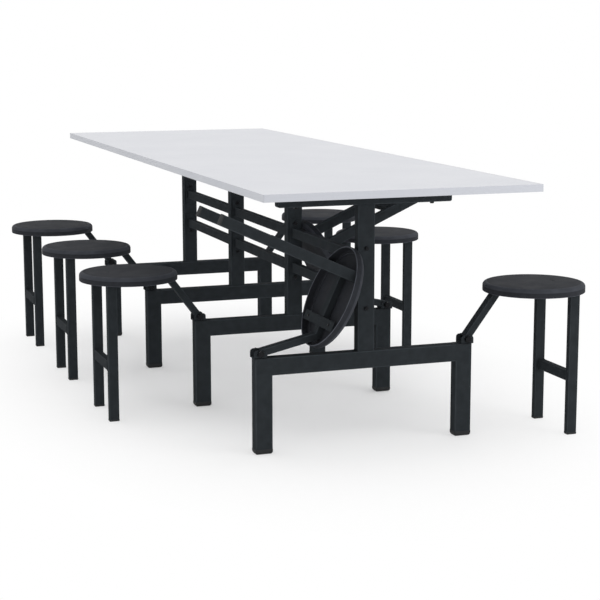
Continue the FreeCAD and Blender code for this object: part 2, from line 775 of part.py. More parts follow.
def make_seat():
    """The round moulded seat: a shallow pan, open below, with two screw bosses."""
    body = new_body("seat")
    profile = new_sketch(body, "seat_profile", "XZ_Plane")
    outline(profile, (
        ("pan", "0", "seat_thick - seat_floor"),
        ("pan_edge", "seat_radius - seat_wall", "seat_thick - seat_floor"),
        ("lip_in", "seat_radius - seat_wall", "0"),
        ("lip_out", "seat_radius", "0"),
        ("edge", "seat_radius", "seat_thick"),
        ("crown", "0", "seat_thick"),
    ))
    turned = body.newObject("PartDesign::Revolution", "seat_turned")
    turned.Profile = profile
    turned.ReferenceAxis = (profile, ["V_Axis"])
    turned.Angle = 360
    doc.recompute()
    top = size("seat_thick")
    pan = top - size("seat_floor")
    rim = size("seat_radius")
    dress(body, "Fillet", "seat_round", lambda edge: is_level(edge, top) and edge.BoundBox.XMax > rim - 1)
    dress(body, "Fillet", "seat_inner_round", lambda edge: is_level(edge, pan))
    dress(body, "Fillet", "seat_lip", lambda edge: is_level(edge, 0))

    groove_line = new_sketch(body, "seat_ring_line", "XZ_Plane")
    outline(groove_line, (
        ("ring_in", "seat_ring - seat_ring_wide / 2", "seat_thick"),
        ("ring_deep", "seat_ring", "seat_thick - seat_ring_deep"),
        ("ring_out", "seat_ring + seat_ring_wide / 2", "seat_thick"),
        ("ring_high", "seat_ring", "seat_thick + seat_ring_deep"),
    ))
    before = body.Shape.Volume
    groove = body.newObject("PartDesign::Groove", "seat_ring_groove")
    groove.Profile = groove_line
    groove.ReferenceAxis = (groove_line, ["V_Axis"])
    groove.Angle = 360
    doc.recompute()
    if body.Shape.Volume >= before:
        raise RuntimeError("the seat's ring groove cuts nothing")

    back = "strap_reach - seat_reach"
    centres = [(back, f"{sign} * strap_screw_side") for sign in (-1, 1)]
    bosses = new_sketch(body, "seat_bosses", "XY_Plane", "strap_thick")
    circles(bosses, "boss_radius", centres)
    pad(body, bosses, "seat_thick - seat_floor - strap_thick")
    pilots = new_sketch(body, "seat_pilots", "XY_Plane", "strap_thick")
    circles(pilots, "strap_screw_shank + pilot_play", centres)
    cut(body, pilots, "strap_screw_deep + pilot_extra", backward=True)
    place(body, "seat_reach", up=RIM)
    return body


def make_strap_screws():
    """The two round-headed screws that hold the seat on its strap."""
    head = cylinder("strap_screw_top", "strap_screw_head", "strap_screw_head_high")
    place(head, up="-strap_screw_head_high")
    shank = cylinder("strap_screw_stem", "strap_screw_shank", "strap_thick + strap_screw_deep")
    screw = fuse("strap_screw", [head, shank])
    copies = []
    for name, sign in (("near", -1), ("far", 1)):
        copy = group("strap_screw_" + name, [screw])
        place(copy, "strap_reach", f"{sign} * strap_screw_side", RIM)
        copies.append(copy)
    return copies


def make_stool_caps():
    """The foot caps of the stool's two legs."""
    body = make_foot("stool_foot", "tube_wide", "tube_thick", "tube_wall", "tube_corner", "stool_foot")
    copies = []
    for name, sign in (("near", -1), ("far", 1)):
        copy = group("stool_foot_" + name, [body])
        place(copy, "stool_leg_reach", f"{sign} * stool_leg_side", f"-{HINGE_HEIGHT}")
        copies.append(copy)
    return copies


def make_stools():
    """Eight stools, each standing on the floor or folded in under the board."""
    kinds = (
        ("frame", [make_barrel()] + make_arm() + make_stand() + [make_strap()]),
        ("seat", [make_seat()]),
        ("screws", make_strap_screws()),
        ("foot_caps", make_stool_caps()),
    )
    nodes = []
    for frame in FRAMES:
        for side, sign in zip(SIDES, (-1, 1)):
            stool = f"{frame}{side}"
            fold = size("fold_angle") if stool in FOLDED_STOOLS else 0
            turn = Rotation(Vector(0, -1, 0), fold)
            if side == "l":
                turn = HALF_TURN.multiply(turn)
            for kind, pieces in kinds:
                node = group(f"stool_{stool}_{kind}", pieces)
                place(node, f"{sign} * hinge_reach", frame_y(frame), HINGE_HEIGHT, turn)
                nodes.append(node)
    return nodes


# ------------------------------------------------------------------ build, check and write
nodes = [make_board(), make_band(), make_top_screws()]
nodes += make_legs() + make_beams() + make_masts() + make_rails()
nodes += [make_rail_bolts(), make_leg_caps(), make_hinge_bolts()]
nodes += make_stools()
doc.recompute()

for thing in doc.Objects:
    if "Invalid" in thing.State or "Error" in thing.State:
        raise RuntimeError(f"{thing.Label} is {thing.State}")
for node in nodes:
    if node.Shape.isNull() or not node.Shape.isValid() or not node.Shape.Solids:
        raise RuntimeError(f"{node.Label} has no valid shape")

os.makedirs("parts", exist_ok=True)
for node in nodes:
    node.Shape.exportStep(f"parts/{node.Label}.step")
    box = node.Shape.BoundBox
    print(
        f"{node.Label:20s} solids {len(node.Shape.Solids):2d}"
        f"  x {box.XMin:8.2f} {box.XMax:8.2f}"
        f"  y {box.YMin:9.2f} {box.YMax:9.2f}"
        f"  z {box.ZMin:7.2f} {box.ZMax:7.2f}"
    )
print("nodes", len(nodes))
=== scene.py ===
import json
import math
import bmesh
import bpy
from bpy.props import FloatProperty, FloatVectorProperty, PointerProperty
from mathutils import Matrix, Vector


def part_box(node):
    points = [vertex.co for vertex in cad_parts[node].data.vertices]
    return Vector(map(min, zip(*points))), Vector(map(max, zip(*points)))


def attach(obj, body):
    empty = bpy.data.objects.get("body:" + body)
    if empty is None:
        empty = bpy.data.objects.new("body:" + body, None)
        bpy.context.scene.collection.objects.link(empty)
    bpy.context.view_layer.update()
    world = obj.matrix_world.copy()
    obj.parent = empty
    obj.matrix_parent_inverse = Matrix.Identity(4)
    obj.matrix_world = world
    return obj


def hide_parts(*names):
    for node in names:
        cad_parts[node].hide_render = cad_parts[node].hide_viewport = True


bl_info = {
    "name": "Canteen table with fold-in stools",
    "version": (1, 0, 0),
    "blender": (4, 5, 0),
    "location": "View3D > Sidebar > Canteen table",
    "description": "Builds the finished pieces of a long canteen table whose stools fold in under the board",
    "category": "Object",
}

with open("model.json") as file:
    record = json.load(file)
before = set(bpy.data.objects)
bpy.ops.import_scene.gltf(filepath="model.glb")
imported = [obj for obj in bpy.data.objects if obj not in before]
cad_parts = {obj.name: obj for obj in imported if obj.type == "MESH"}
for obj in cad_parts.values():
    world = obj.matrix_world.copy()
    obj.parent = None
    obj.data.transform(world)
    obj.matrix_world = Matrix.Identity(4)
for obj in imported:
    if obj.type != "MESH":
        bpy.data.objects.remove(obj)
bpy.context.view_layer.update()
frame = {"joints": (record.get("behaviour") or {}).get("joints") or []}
JOINTS = {joint["name"]: joint for joint in frame["joints"]}
FRAMES = (1, 2, 3, 4)
SIDES = ("l", "r")
STOOLS = [f"{number}{side}" for number in FRAMES for side in SIDES]
RAILS = [f"rail_{row}_{near}{near + 1}" for near in FRAMES[:-1] for row in ("upper", "lower")]
ARM_SLOPE = math.radians(53)
NUT_RATIO = 1.25
BOLT_TIP = 0.002
HEAD_BEVEL = 0.18
WASHER_LIP = 0.0004
SADDLE_SINK = 0.0002
BARREL_LIP = 0.0008
BARREL_PLAY = 0.0002
BAND_THICK = 0.0015
BAND_CUT = 0.0003
BAND_FACE = 1.0
BOARD_FACE_EDGE = 0.0002
PLATE_EDGE = 0.0004
LEG_TOP_EDGE = 0.0007
PLUG_GAP = 0.0002
PLUG_SINK = 0.0005
EAR_STEPS = 6
FOOT_STEPS = 4
FOOT_EDGE = 0.0005
LEG_HOLLOW = 0.015
HOLLOW_STEP = 0.0001
BOSS_HOLE, BOSS_FOOT, BOSS_ROOT, BOSS_LIP = 0.0022, 0.0054, 0.0066, 0.0006
SCREW_SECTION = (
    (0, -0.0010), (0.0014, -0.0010), (0.0015, -0.0024), (0.0028, -0.0023), (0.0040, -0.0016),
    (0.0046, -0.0004), (0.0046, 0), (0, 0),
)
WELD_PITCH = 1.5
WELD_RIPPLE = 0.82
WASHER_SIDES, SHANK_SIDES, BARREL_SIDES, SEAT_SIDES, SCREW_SIDES = 28, 20, 36, 128, 24
TOUCH = 1e-6
# The mask of rounded corners that get a painted highlight, the strips it picks, and the weaker painted
# highlight on the seat's shoulder.
HIGHLIGHT_MASK = "corners"
STRIP_LONG = 0.005
STRIP_WIDE = 0.0015
STRIP_BEND = 0.05
SHOULDER_WIDE = 0.0022
SHOULDER_HIGHLIGHT = 0.35
SHARP_ANGLE = math.radians(38)
ROUND_STEPS = 4
FLOOR_HALF = 60.0
FLOOR_DROP = 0.0005
FLOOR_LONG = 1.75
FADE_SHARE = (0.28, 1.0)
FADE_REACH = (0.40, 1.03)
OVERHEAD_WAY = (-0.1, 0.1, -1.0)
OVERHEAD_SPREAD = 80.0
AXES = {"x": Vector((1, 0, 0)), "y": Vector((0, 1, 0)), "z": Vector((0, 0, 1))}


# ------------------------------------------------------------------ settings
def distance(name, description, default):
    """A length setting, in metres."""
    return FloatProperty(
        name=name, description=description, default=default, min=0.0, subtype="DISTANCE", unit="LENGTH",
        precision=4,
    )


def spot(name, description, default):
    """A place setting, in metres."""
    return FloatVectorProperty(
        name=name, description=description, default=default, size=3, subtype="TRANSLATION", unit="LENGTH"
    )


def degrees(name, description, default):
    """An angle setting, given in degrees."""
    return FloatProperty(
        name=name, description=description, default=math.radians(default), subtype="ANGLE", unit="ROTATION"
    )


def amount(name, description, default, least=0.0):
    """A plain number setting."""
    return FloatProperty(name=name, description=description, default=default, min=least)


def colour(name, description, default):
    """A colour setting."""
    return FloatVectorProperty(
        name=name, description=description, default=default, min=0.0, max=1.0, size=3, subtype="COLOR"
    )


def fastener(name, default):
    """The five sizes of a screw or bolt, in metres."""
    return FloatVectorProperty(
        name=name, default=default, min=0.0, size=5, unit="LENGTH", precision=4,
        description="Shank radius, width across flats, head height, washer radius, washer thickness",
    )


class CanteenSizes(bpy.types.PropertyGroup):
    leg_wide: distance("Leg width", "Leg tube across the table", 0.050)
    leg_deep: distance("Leg depth", "Leg and beam tubes along the table", 0.035)
    leg_corner: distance("Leg corner", "Corner radius of the leg and beam tubes", 0.003)
    mast_wide: distance("Post width", "Post tube across the table", 0.050)
    mast_corner: distance("Post corner", "Corner radius of the post and crossbar tubes", 0.0025)
    crossbar_high: distance("Crossbar height", "Height of the crossbar tube", 0.050)
    crossbar_round: distance("Crossbar rounding", "Rounding of the lower corners at its ends", 0.006)
    beam_top: distance("Beam top", "Height of the beam and leg tops", 0.272)
    frame_wall: distance("Frame wall", "Wall of the frame tubes", 0.002)
    rail_high: distance("Rail height", "Height of a rail tube", 0.030)
    rail_thick: distance("Rail thickness", "Thickness of a rail tube", 0.020)
    rail_offset: distance("Rail offset", "Middle of an end plate to the middle of its rail", 0.005)
    rail_bolt_offset: distance("Rail bolt offset", "Middle of a rail to its bolt", 0.030)
    plate_thick: distance("Rail plate thickness", "Thickness of a rail's end plate", 0.004)
    tube_corner: distance("Stool tube corner", "Corner radius of the rail and stool tubes", 0.002)
    tube_wide: distance("Stool tube width", "Long side of a stool tube", 0.030)
    tube_thick: distance("Stool tube thickness", "Short side of a stool tube", 0.020)
    barrel_radius: distance("Barrel radius", "Outer radius of the hinge barrel", 0.0105)
    barrel_long: distance("Barrel length", "Length of the hinge barrel", 0.031)
    hinge_bolt: fastener("Hinge bolt", (0.005, 0.017, 0.0064, 0.010, 0.002))
    rail_bolt: fastener("Rail bolt", (0.003, 0.010, 0.004, 0.006, 0.0012))
    board_screw: fastener("Board screw", (0.003, 0.010, 0.004, 0.0075, 0.0012))
    screw_head: distance("Strap screw head", "Radius of a strap screw's head", 0.0046)
    tube_wall: distance("Stool tube wall", "Wall of the stool tubes", 0.0015)
    low_bar: distance("Lower bar", "Height of the underside of a stool's lower bar", 0.153)
    leg_gap: distance("Stool leg gap", "Top of a stool's leg to the underside of its seat", 0.005)
    leg_side: distance("Stool leg offset", "Middle of the stool to the middle of its leg", 0.101)
    strap_wide: distance("Strap width", "Width of the strap under the arm", 0.028)
    strap_thick: distance("Strap thickness", "Thickness of the strap under the arm", 0.003)
    bracket_base: distance("Bracket base", "Thickness of the hinge bracket's base", 0.0025)
    bracket_thick: distance("Bracket ears", "Thickness of the hinge bracket's ears", 0.003)
    bracket_wide: distance("Bracket width", "Hinge bracket across the table", 0.038)
    bracket_deep: distance("Bracket depth", "Hinge bracket along the table, over both ears", 0.038)
    bracket_round: distance("Bracket rounding", "Rounding of the ears' upper corners", 0.009)
    stop_high: distance("Stop height", "Height of the web that the folded arm rests on", 0.0061)
    stop_thick: distance("Stop thickness", "Thickness of that web", 0.004)
    seat_floor: distance("Seat top", "Thickness of the seat's top", 0.003)
    seat_wall: distance("Seat wall", "Thickness of the seat's rim", 0.0038)
    seat_round: distance("Seat rounding", "Rounding of the seat's upper edge", 0.011)
    seat_inner_round: distance("Inner rounding", "Rounding where the seat's rim meets its underside", 0.003)
    seat_lip: distance("Seat lip", "Rounding of the rim's lower edge", 0.0012)
    seat_ring: distance("Seat ring", "Radius of the fine groove in the seat's top", 0.1335)
    seat_ring_half: distance("Seat ring width", "Half the width of that groove, and twice its depth", 0.0022)
    seat_ledge: distance("Seat ledge", "Width of the ledge inside the rim", 0.009)
    seat_ledge_high: distance("Ledge height", "Height of that ledge", 0.002)
    board_corner: distance("Board corner", "Radius of the board's corners", 0.004)
    board_edge: distance("Board edge", "Softening of the board's upper and lower edges", 0.0006)
    foot_lip: distance("Foot lip", "How far a frame's foot cap stands out past its tube", 0.0007)
    foot_draw: distance("Foot draw", "How far a frame's foot cap draws in at its tread", 0.006)
    foot_draw_high: distance("Foot draw height", "Height over which it draws in", 0.009)
    stool_foot_draw: distance("Stool foot draw", "How far a stool's foot cap draws in at its tread", 0.002)
    stool_foot_draw_high: distance("Stool foot draw height", "Height over which it draws in", 0.003)
    weld_bead: distance("Weld bead", "Radius of a weld bead", 0.0016)


class CanteenColours(bpy.types.PropertyGroup):
    board: colour("Board", "Pale laminate of the board", (0.656, 0.666, 0.704))
    band: colour("Edge band", "Band round the board", (0.512, 0.526, 0.568))
    steel: colour("Powder coat", "Coat of all the steel tubes", (0.0242, 0.0281, 0.0314))
    seat: colour("Seat", "Moulded seats", (0.0240, 0.0258, 0.0305))
    foot: colour("Foot caps", "Plastic foot caps", (0.030, 0.031, 0.032))
    fastener: colour("Fasteners", "Bolts, nuts and screws", (0.004, 0.0045, 0.006))
    floor: colour("Floor", "Studio floor", (0.96, 0.96, 0.96))


class CanteenStudio(bpy.types.PropertyGroup):
    eye: spot("Camera place", "Where the camera stands", (-1.6508, -5.0045, 1.1838))
    pan: degrees("Pan", "Turn of the view from along the table to its right", 19.87)
    tilt: degrees("Tilt", "How far the camera looks down", 9.94)
    lens: amount("Lens", "Focal length in millimetres", 96.19, 10.0)
    shift_across: amount("Shift across", "Lens shift across", -0.0134, -1.0)
    shift_up: amount("Shift up", "Lens shift up", 0.0031, -1.0)
    sky: amount("Sky", "Strength of the even light from all round", 0.90)
    front: amount("Front lamp", "Power of the lamp at the front right", 27.0)
    front_wide: distance("Front lamp width", "Side of the soft square lamp at the front right", 1.6)
    front_aim: distance("Front lamp aim", "Height over the floor that it faces, at the middle", 0.4)
    front_place: spot("Front lamp place", "Where that lamp stands", (2.4, -3.2, 0.9))
    key: amount("Overhead lamp", "Strength of the wide lamp overhead", 0.35)


def sizes():
    return bpy.context.scene.canteen_sizes


def colours():
    return bpy.context.scene.canteen_colours


# ------------------------------------------------------------------ materials
def operate(tree, operation, first, second):
    """A value made from two others."""
    node = tree.nodes.new("ShaderNodeMath")
    node.operation = operation
    tree.links.new(first, node.inputs[0])
    tree.links.new(second, node.inputs[1])
    return node.outputs[0]


def blend(tree, share, first, second, output):
    """Blend two shaders by a share and hand the result to the output."""
    mix = tree.nodes.new("ShaderNodeMixShader")
    for value, socket in zip((share, first, second), mix.inputs):
        tree.links.new(value, socket)
    tree.links.new(mix.outputs[0], tree.nodes[output].inputs["Surface"])


class Finish:
    """A procedural finish: a principled shader whose patterns follow the piece's own object coordinates."""

    def __init__(self, name, base, roughness, specular, metallic=0.0):
        self.material = bpy.data.materials.new(name)
        self.material.use_nodes = True
        self.material.diffuse_color = (*base, 1.0)
        self.tree = self.material.node_tree
        self.nodes, self.links = self.tree.nodes, self.tree.links
        self.shader = self.nodes["Principled BSDF"]
        self.place = self.nodes.new("ShaderNodeTexCoord").outputs["Object"]
        self.base = base
        self.shader.inputs["Base Color"].default_value = (*base, 1.0)
        self.shader.inputs["Roughness"].default_value = roughness
        self.shader.inputs["Specular IOR Level"].default_value = specular
        self.shader.inputs["Metallic"].default_value = metallic
        self.height = None

    def noise(self, scale, detail=2.0, stretch=(1.0, 1.0, 1.0)):
        """Noise of a scale per metre, stretched along an axis."""
        mapping = self.nodes.new("ShaderNodeMapping")
        mapping.inputs["Scale"].default_value = stretch
        self.links.new(self.place, mapping.inputs["Vector"])
        noise = self.nodes.new("ShaderNodeTexNoise")
        noise.inputs["Scale"].default_value = scale
        noise.inputs["Detail"].default_value = detail
        self.links.new(mapping.outputs["Vector"], noise.inputs["Vector"])
        return noise.outputs["Fac"]

    def ranged(self, value, low, high, start=0.3, end=0.7):
        """A value spread over a range."""
        spread = self.nodes.new("ShaderNodeMapRange")
        spread.inputs["From Min"].default_value = start
        spread.inputs["From Max"].default_value = end
        spread.inputs["To Min"].default_value = low
        spread.inputs["To Max"].default_value = high
        self.links.new(value, spread.inputs["Value"])
        return spread.outputs["Result"]

    def mixed(self, share, brightness):
        """Mix the base colour at another brightness over what lies under it."""
        mix = self.nodes.new("ShaderNodeMix")
        mix.data_type = "RGBA"
        mix.inputs[7].default_value = (*[min(1.0, part * brightness) for part in self.base], 1.0)
        self.links.new(share, mix.inputs[0])
        self.links.new(mix.outputs[2], self.shader.inputs["Base Color"])
        self.colour = mix.outputs[2]
        return mix.inputs[6]

    def mottle(self, value, low, high):
        """Vary the base colour between two brightnesses."""
        under = self.mixed(self.ranged(value, 0.0, 1.0), high)
        under.default_value = (*[part * low for part in self.base], 1.0)

    def paint_highlight(self, value, brighter):
        """Painted highlight: lighten the base colour in patches along the rounded outer corners, where light
        would catch them.
        """
        corners = self.nodes.new("ShaderNodeAttribute")
        corners.attribute_name = HIGHLIGHT_MASK
        mottled = self.colour
        share = operate(self.tree, "MULTIPLY", corners.outputs["Fac"], self.ranged(value, 0.5, 1.0))
        self.links.new(mottled, self.mixed(share, brighter))

    def rough(self, value, low, high):
        """Vary the roughness."""
        self.links.new(self.ranged(value, low, high), self.shader.inputs["Roughness"])

    def bump(self, value, strength, depth):
        """Raise a pattern on the surface. depth is in metres."""
        bump = self.nodes.new("ShaderNodeBump")
        bump.inputs["Strength"].default_value = strength
        bump.inputs["Distance"].default_value = depth
        self.links.new(value, bump.inputs["Height"])
        if self.height is not None:
            self.links.new(self.height, bump.inputs["Normal"])
        self.height = bump.outputs["Normal"]
        self.links.new(self.height, self.shader.inputs["Normal"])


def laminate(name, base, roughness):
    """Satin melamine: a faint pearl mottle and a very fine pressed grain."""
    finish = Finish(name, base, roughness, 0.45)
    finish.mottle(finish.noise(210.0, 3.0), 0.985, 1.015)
    finish.rough(finish.noise(6.0, 3.0), roughness - 0.04, roughness + 0.05)
    finish.bump(finish.noise(1500.0, 2.0), 0.10, 0.0002)
    return finish.material


def powder_coat(name, base):
    """Satin powder coat: fine orange peel, faint colour drift, uneven sheen and a painted highlight along its
    rounded corners.
    """
    finish = Finish(name, base, 0.75, 0.025)
    finish.mottle(finish.noise(45.0, 4.0), 0.90, 1.12)
    # Painted highlight along the tubes' rounded corners and edges.
    finish.paint_highlight(finish.noise(30.0, 2.0), 1.7)
    finish.rough(finish.noise(24.0, 3.0), 0.70, 0.80)
    finish.bump(finish.noise(650.0, 2.0), 0.12, 0.0003)
    finish.bump(finish.noise(2600.0, 1.0), 0.08, 0.0001)
    return finish.material


def moulded_plastic(name, base, roughness, highlight_gain):
    """Moulded plastic with a spark-eroded grain, handling marks in its sheen, and a painted highlight along
    its rounded corners and lips.
    """
    finish = Finish(name, base, roughness, 0.06)
    finish.mottle(finish.noise(90.0, 4.0), 0.92, 1.09)
    # Painted highlight on the rounded corners and lips.
    finish.paint_highlight(finish.noise(20.0, 2.0), highlight_gain)
    finish.rough(finish.noise(14.0, 4.0), roughness - 0.05, roughness + 0.06)
    finish.bump(finish.noise(1900.0, 3.0), 0.16, 0.0002)
    return finish.material


def black_fastener(name, base):
    """Blackened steel of bolts and nuts."""
    finish = Finish(name, base, 0.45, 0.2, 0.2)
    finish.mottle(finish.noise(300.0, 3.0), 0.75, 1.25)
    finish.rough(finish.noise(180.0, 3.0), 0.28, 0.44)
    finish.bump(finish.noise(1200.0, 2.0), 0.08, 0.0001)
    return finish.material


def finishes():
    """Every finish by the name of its material slot, made once."""
    made = bpy.data.materials
    if "powder_coat_black" not in made:
        laminate("laminate_pale_grey", colours().board, 0.42)
        laminate("edge_band_grey", colours().band, 0.36)
        powder_coat("powder_coat_black", colours().steel)
        # The last number of each plastic is the strength of its painted highlight on rounded edges.
        moulded_plastic("seat_charcoal", colours().seat, 0.70, 4.0)
        moulded_plastic("foot_cap_black", colours().foot, 0.60, 1.6)
        black_fastener("fastener_black", colours().fastener)
    return {
        "board": made["laminate_pale_grey"],
        "edge_band": made["edge_band_grey"],
        "steel": made["powder_coat_black"],
        "seat_plastic": made["seat_charcoal"],
        "foot_plastic": made["foot_cap_black"],
        "fasteners": made["fastener_black"],
    }


# ------------------------------------------------------------------ mesh helpers
def block(bm, low, high):
    """A box between two corners. Returns its vertices."""
    low, high = Vector(low), Vector(high)
    verts = bmesh.ops.create_cube(bm, size=1.0)["verts"]
    bmesh.ops.scale(bm, vec=high - low, verts=verts)
    bmesh.ops.translate(bm, vec=(low + high) / 2, verts=verts)
    return verts


def bar(bm, low, high, corner, along, steps=ROUND_STEPS):
    """A closed bar in a box, its long edges along an axis rounded. Returns its vertices."""
    verts = block(bm, low, high)
    long_edges = [edge for edge in edges_of(verts) if is_parallel(edge, AXES[along])]
    return softened(bm, verts, long_edges, corner, steps)


def is_parallel(edge, axis):
    way = edge.verts[1].co - edge.verts[0].co
    return way.cross(axis).length < TOUCH < way.length


def newer(bm, before):
    """The vertices made since a set of them was noted."""
    return [vert for vert in bm.verts if vert not in before]


def edges_of(verts):
    """The edges between some vertices."""
    chosen = set(verts)
    return [edge for edge in {e for v in verts for e in v.link_edges} if set(edge.verts) <= chosen]


def faces_of(verts):
    """The faces whose corners are all among some vertices."""
    chosen = set(verts)
    return [face for face in {f for v in verts for f in v.link_faces} if set(face.verts) <= chosen]


def soften(bm, geom, offset, steps, affect="EDGES"):
    """Bevel some edges or corners."""
    return bmesh.ops.bevel(
        bm, geom=geom, offset=offset, offset_type="OFFSET", segments=steps, profile=0.5, affect=affect,
        material=-1,
    )


def softened(bm, verts, edges, offset, steps):
    """Bevel some edges of a solid. Returns all its vertices."""
    made = soften(bm, edges, offset, steps)
    return list({vert for vert in verts if vert.is_valid} | set(made["verts"]))


def flat_edges(verts, axis, place):
    """The edges among some vertices that lie in one plane square to an axis."""
    index = "xyz".index(axis)
    return [edge for edge in edges_of(verts) if all(abs(v.co[index] - place) < TOUCH for v in edge.verts)]


def slab(bm, low, high, corner, through, edge=PLATE_EDGE):
    """A flat plate with round corners and softened faces. through is the axis of its thickness."""
    verts = bar(bm, low, high, corner, through) if corner else bar(bm, low, high, edge, through, 1)
    soften_rims(bm, verts, low, high, through, edge)


def soften_rims(bm, verts, low, high, through, edge, steps=1):
    """Soften the edges round both faces of a plate."""
    index = "xyz".index(through)
    rim = flat_edges(verts, through, low[index]) + flat_edges(verts, through, high[index])
    soften(bm, rim, edge, steps)


def round_ended(bm, low, high, corner, level, edge, steps=1):
    """A block across Y, its two corners at one level rounded and the edges of both faces softened."""
    verts = block(bm, low, high)
    across = [line for line in edges_of(verts) if is_parallel(line, AXES["y"])]
    at_level = [line for line in across if abs(line.verts[0].co.z - level) < TOUCH]
    verts = softened(bm, verts, at_level, corner, EAR_STEPS)
    soften_rims(bm, verts, low, high, "y", edge, steps)


def section(bm, wide, deep, corner, cuts=0):
    """A tube's outline as one face on z = 0, the sides along X cut into equal parts. Returns its vertices."""
    before = set(bm.verts)
    face = bmesh.ops.create_grid(bm, x_segments=1, y_segments=1, size=0.5)["verts"]
    bmesh.ops.scale(bm, vec=(wide, deep, 1.0), verts=face)
    soften(bm, face, corner, ROUND_STEPS, "VERTICES")
    if cuts:
        across = [edge for edge in edges_of(newer(bm, before)) if is_parallel(edge, AXES["x"])]
        bmesh.ops.subdivide_edges(bm, edges=across, cuts=cuts)
    return newer(bm, before)


def grow(bm, faces, step, keep=False):
    """Extrude some faces and return the faces at the end, and their corners."""
    grown = bmesh.ops.extrude_face_region(bm, geom=faces, use_keep_orig=keep)["geom"]
    verts = [item for item in grown if isinstance(item, bmesh.types.BMVert)]
    bmesh.ops.translate(bm, vec=step, verts=verts)
    if not keep:
        bmesh.ops.delete(bm, geom=[face for face in faces if face.is_valid], context="FACES_ONLY")
    return [item for item in grown if isinstance(item, bmesh.types.BMFace)], verts


def points(*places):
    """Points of a profile, each from its distance to the axis and its height."""
    return [Vector((across, 0, up)) for across, up in places]


def arc(centre, radius, start, end, steps):
    """Points along an arc in a profile, from one angle to another in degrees."""
    angles = [math.radians(start + (end - start) * step / steps) for step in range(steps + 1)]
    return points(*[(centre[0] + radius * math.cos(a), centre[1] + radius * math.sin(a)) for a in angles])


def lathe(bm, profile, steps, closed=False):
    """Turn a profile in the XZ plane about the Z axis. Returns the new vertices."""
    before = set(bm.verts)
    verts = [bm.verts.new(point) for point in profile]
    pairs = list(zip(verts, verts[1:])) + ([(verts[-1], verts[0])] if closed else [])
    edges = [bm.edges.new(pair) for pair in pairs]
    bmesh.ops.spin(
        bm, geom=verts + edges, cent=(0, 0, 0), axis=(0, 0, 1), dvec=(0, 0, 0), angle=math.tau, steps=steps,
        use_merge=True, use_duplicate=False,
    )
    turned = list(set(bm.verts) - before)
    bmesh.ops.remove_doubles(bm, verts=turned, dist=TOUCH)
    return [vert for vert in turned if vert.is_valid]


def hexagon(bm, radius, low, high, bevel):
    """A hexagonal head between two heights, its top corners bevelled."""
    verts = bmesh.ops.create_circle(bm, cap_ends=True, segments=6, radius=radius)["verts"]
    bmesh.ops.translate(bm, vec=(0, 0, low), verts=verts)
    top = grow(bm, faces_of(verts), (0, 0, high - low), True)[1]
    soften(bm, edges_of(top), bevel, 2)


def washer(bm, radius, low, high):
    """A round washer between two heights."""
    middle = (low + high) / 2
    lip = min(WASHER_LIP, (high - low) / 3)
    profile = points((0, low), (radius - lip, low), (radius, middle), (radius - lip, high), (0, high))
    lathe(bm, profile, WASHER_SIDES)


def outline(wide, deep, corner, spacing):
    """Places round a rectangle with round corners, each with its outward direction."""
    places = []
    signs = ((1, 1), (-1, 1), (-1, -1), (1, -1))
    for turn, (across, along) in enumerate(signs):
        centre = Vector((across * (wide / 2 - corner), along * (deep / 2 - corner), 0))
        for step in range(4):
            out = Matrix.Rotation(math.radians(90 * turn + 30 * step), 3, "Z") @ AXES["x"]
            places.append((centre + out * corner, out))
        length = (deep if turn % 2 else wide) - 2 * corner
        count = max(2, round(length / spacing))
        way = AXES["z"].cross(out)
        places += [(centre + out * corner + way * length * step / count, out) for step in range(1, count)]
    return places


def mesh_from(bm, name):
    """Turn a bmesh into a mesh and free it."""
    mesh = bpy.data.meshes.new(name)
    bm.to_mesh(mesh)
    bm.free()
    return mesh


def put(name, data):
    """A new object in the scene."""
    item = bpy.data.objects.new(name, data)
    bpy.context.scene.collection.objects.link(item)
    return item


def weld_ring(wide, deep, corner, bead):
    """A weld bead round a rectangular tube, in the XY plane, rippled as laid. Returns a mesh."""
    bm = bmesh.new()
    rings = []
    for number, (place, out) in enumerate(outline(wide, deep, corner, bead * WELD_PITCH)):
        turn = Matrix((out, AXES["z"], out.cross(AXES["z"]))).transposed().to_4x4()
        ring = bmesh.ops.create_circle(
            bm, cap_ends=False, segments=6, radius=bead * (1.0 if number % 2 else WELD_RIPPLE),
            matrix=Matrix.Translation(place) @ turn,
        )["verts"]
        rings.append(edges_of(ring))
    for ring, following in zip(rings, rings[1:] + rings[:1]):
        bmesh.ops.bridge_loops(bm, edges=ring + following)
    return mesh_from(bm, "weld")


WELDS = {}


def weld(bm, centre, across, wide, deep, corner):
    """Lay a weld bead round a tube that meets a surface. across is the axis along the tube."""
    key = (round(wide, 5), round(deep, 5), round(corner, 5))
    if key not in WELDS:
        WELDS[key] = weld_ring(wide, deep, corner, sizes().weld_bead)
    turn = {
        "x": Matrix(((0, 0, 1), (1, 0, 0), (0, 1, 0))).to_4x4(),
        "y": Matrix(((1, 0, 0), (0, 0, -1), (0, 1, 0))).to_4x4(),
        "z": Matrix.Identity(4),
    }[across]
    before = set(bm.verts)
    bm.from_mesh(WELDS[key])
    bmesh.ops.transform(bm, matrix=Matrix.Translation(centre) @ turn, verts=newer(bm, before))


def corner_share(face):
    """How strongly a face gets the painted highlight: fully on a narrow rounded outer corner or lip, a long
    strip bent outwards at both sides, and more weakly on somewhat wider strips such as the seat's shoulder.
    """
    length = max(edge.calc_length() for edge in face.edges)
    sides = [edge for edge in face.edges if edge.calc_length() > length * 0.5]
    width = face.calc_area() / length
    if len(sides) != 2 or length < STRIP_LONG or width > SHOULDER_WIDE:
        return 0.0
    if any(not edge.is_manifold or edge.calc_face_angle_signed(0.0) < STRIP_BEND for edge in sides):
        return 0.0
    return 1.0 if width < STRIP_WIDE else SHOULDER_HIGHLIGHT


def mark_corners(bm):
    """Note in a face attribute which faces lie on rounded outer corners: the mask of the painted highlight.
    """
    layer = bm.faces.layers.float.new(HIGHLIGHT_MASK)
    for face in bm.faces:
        face[layer] = corner_share(face)


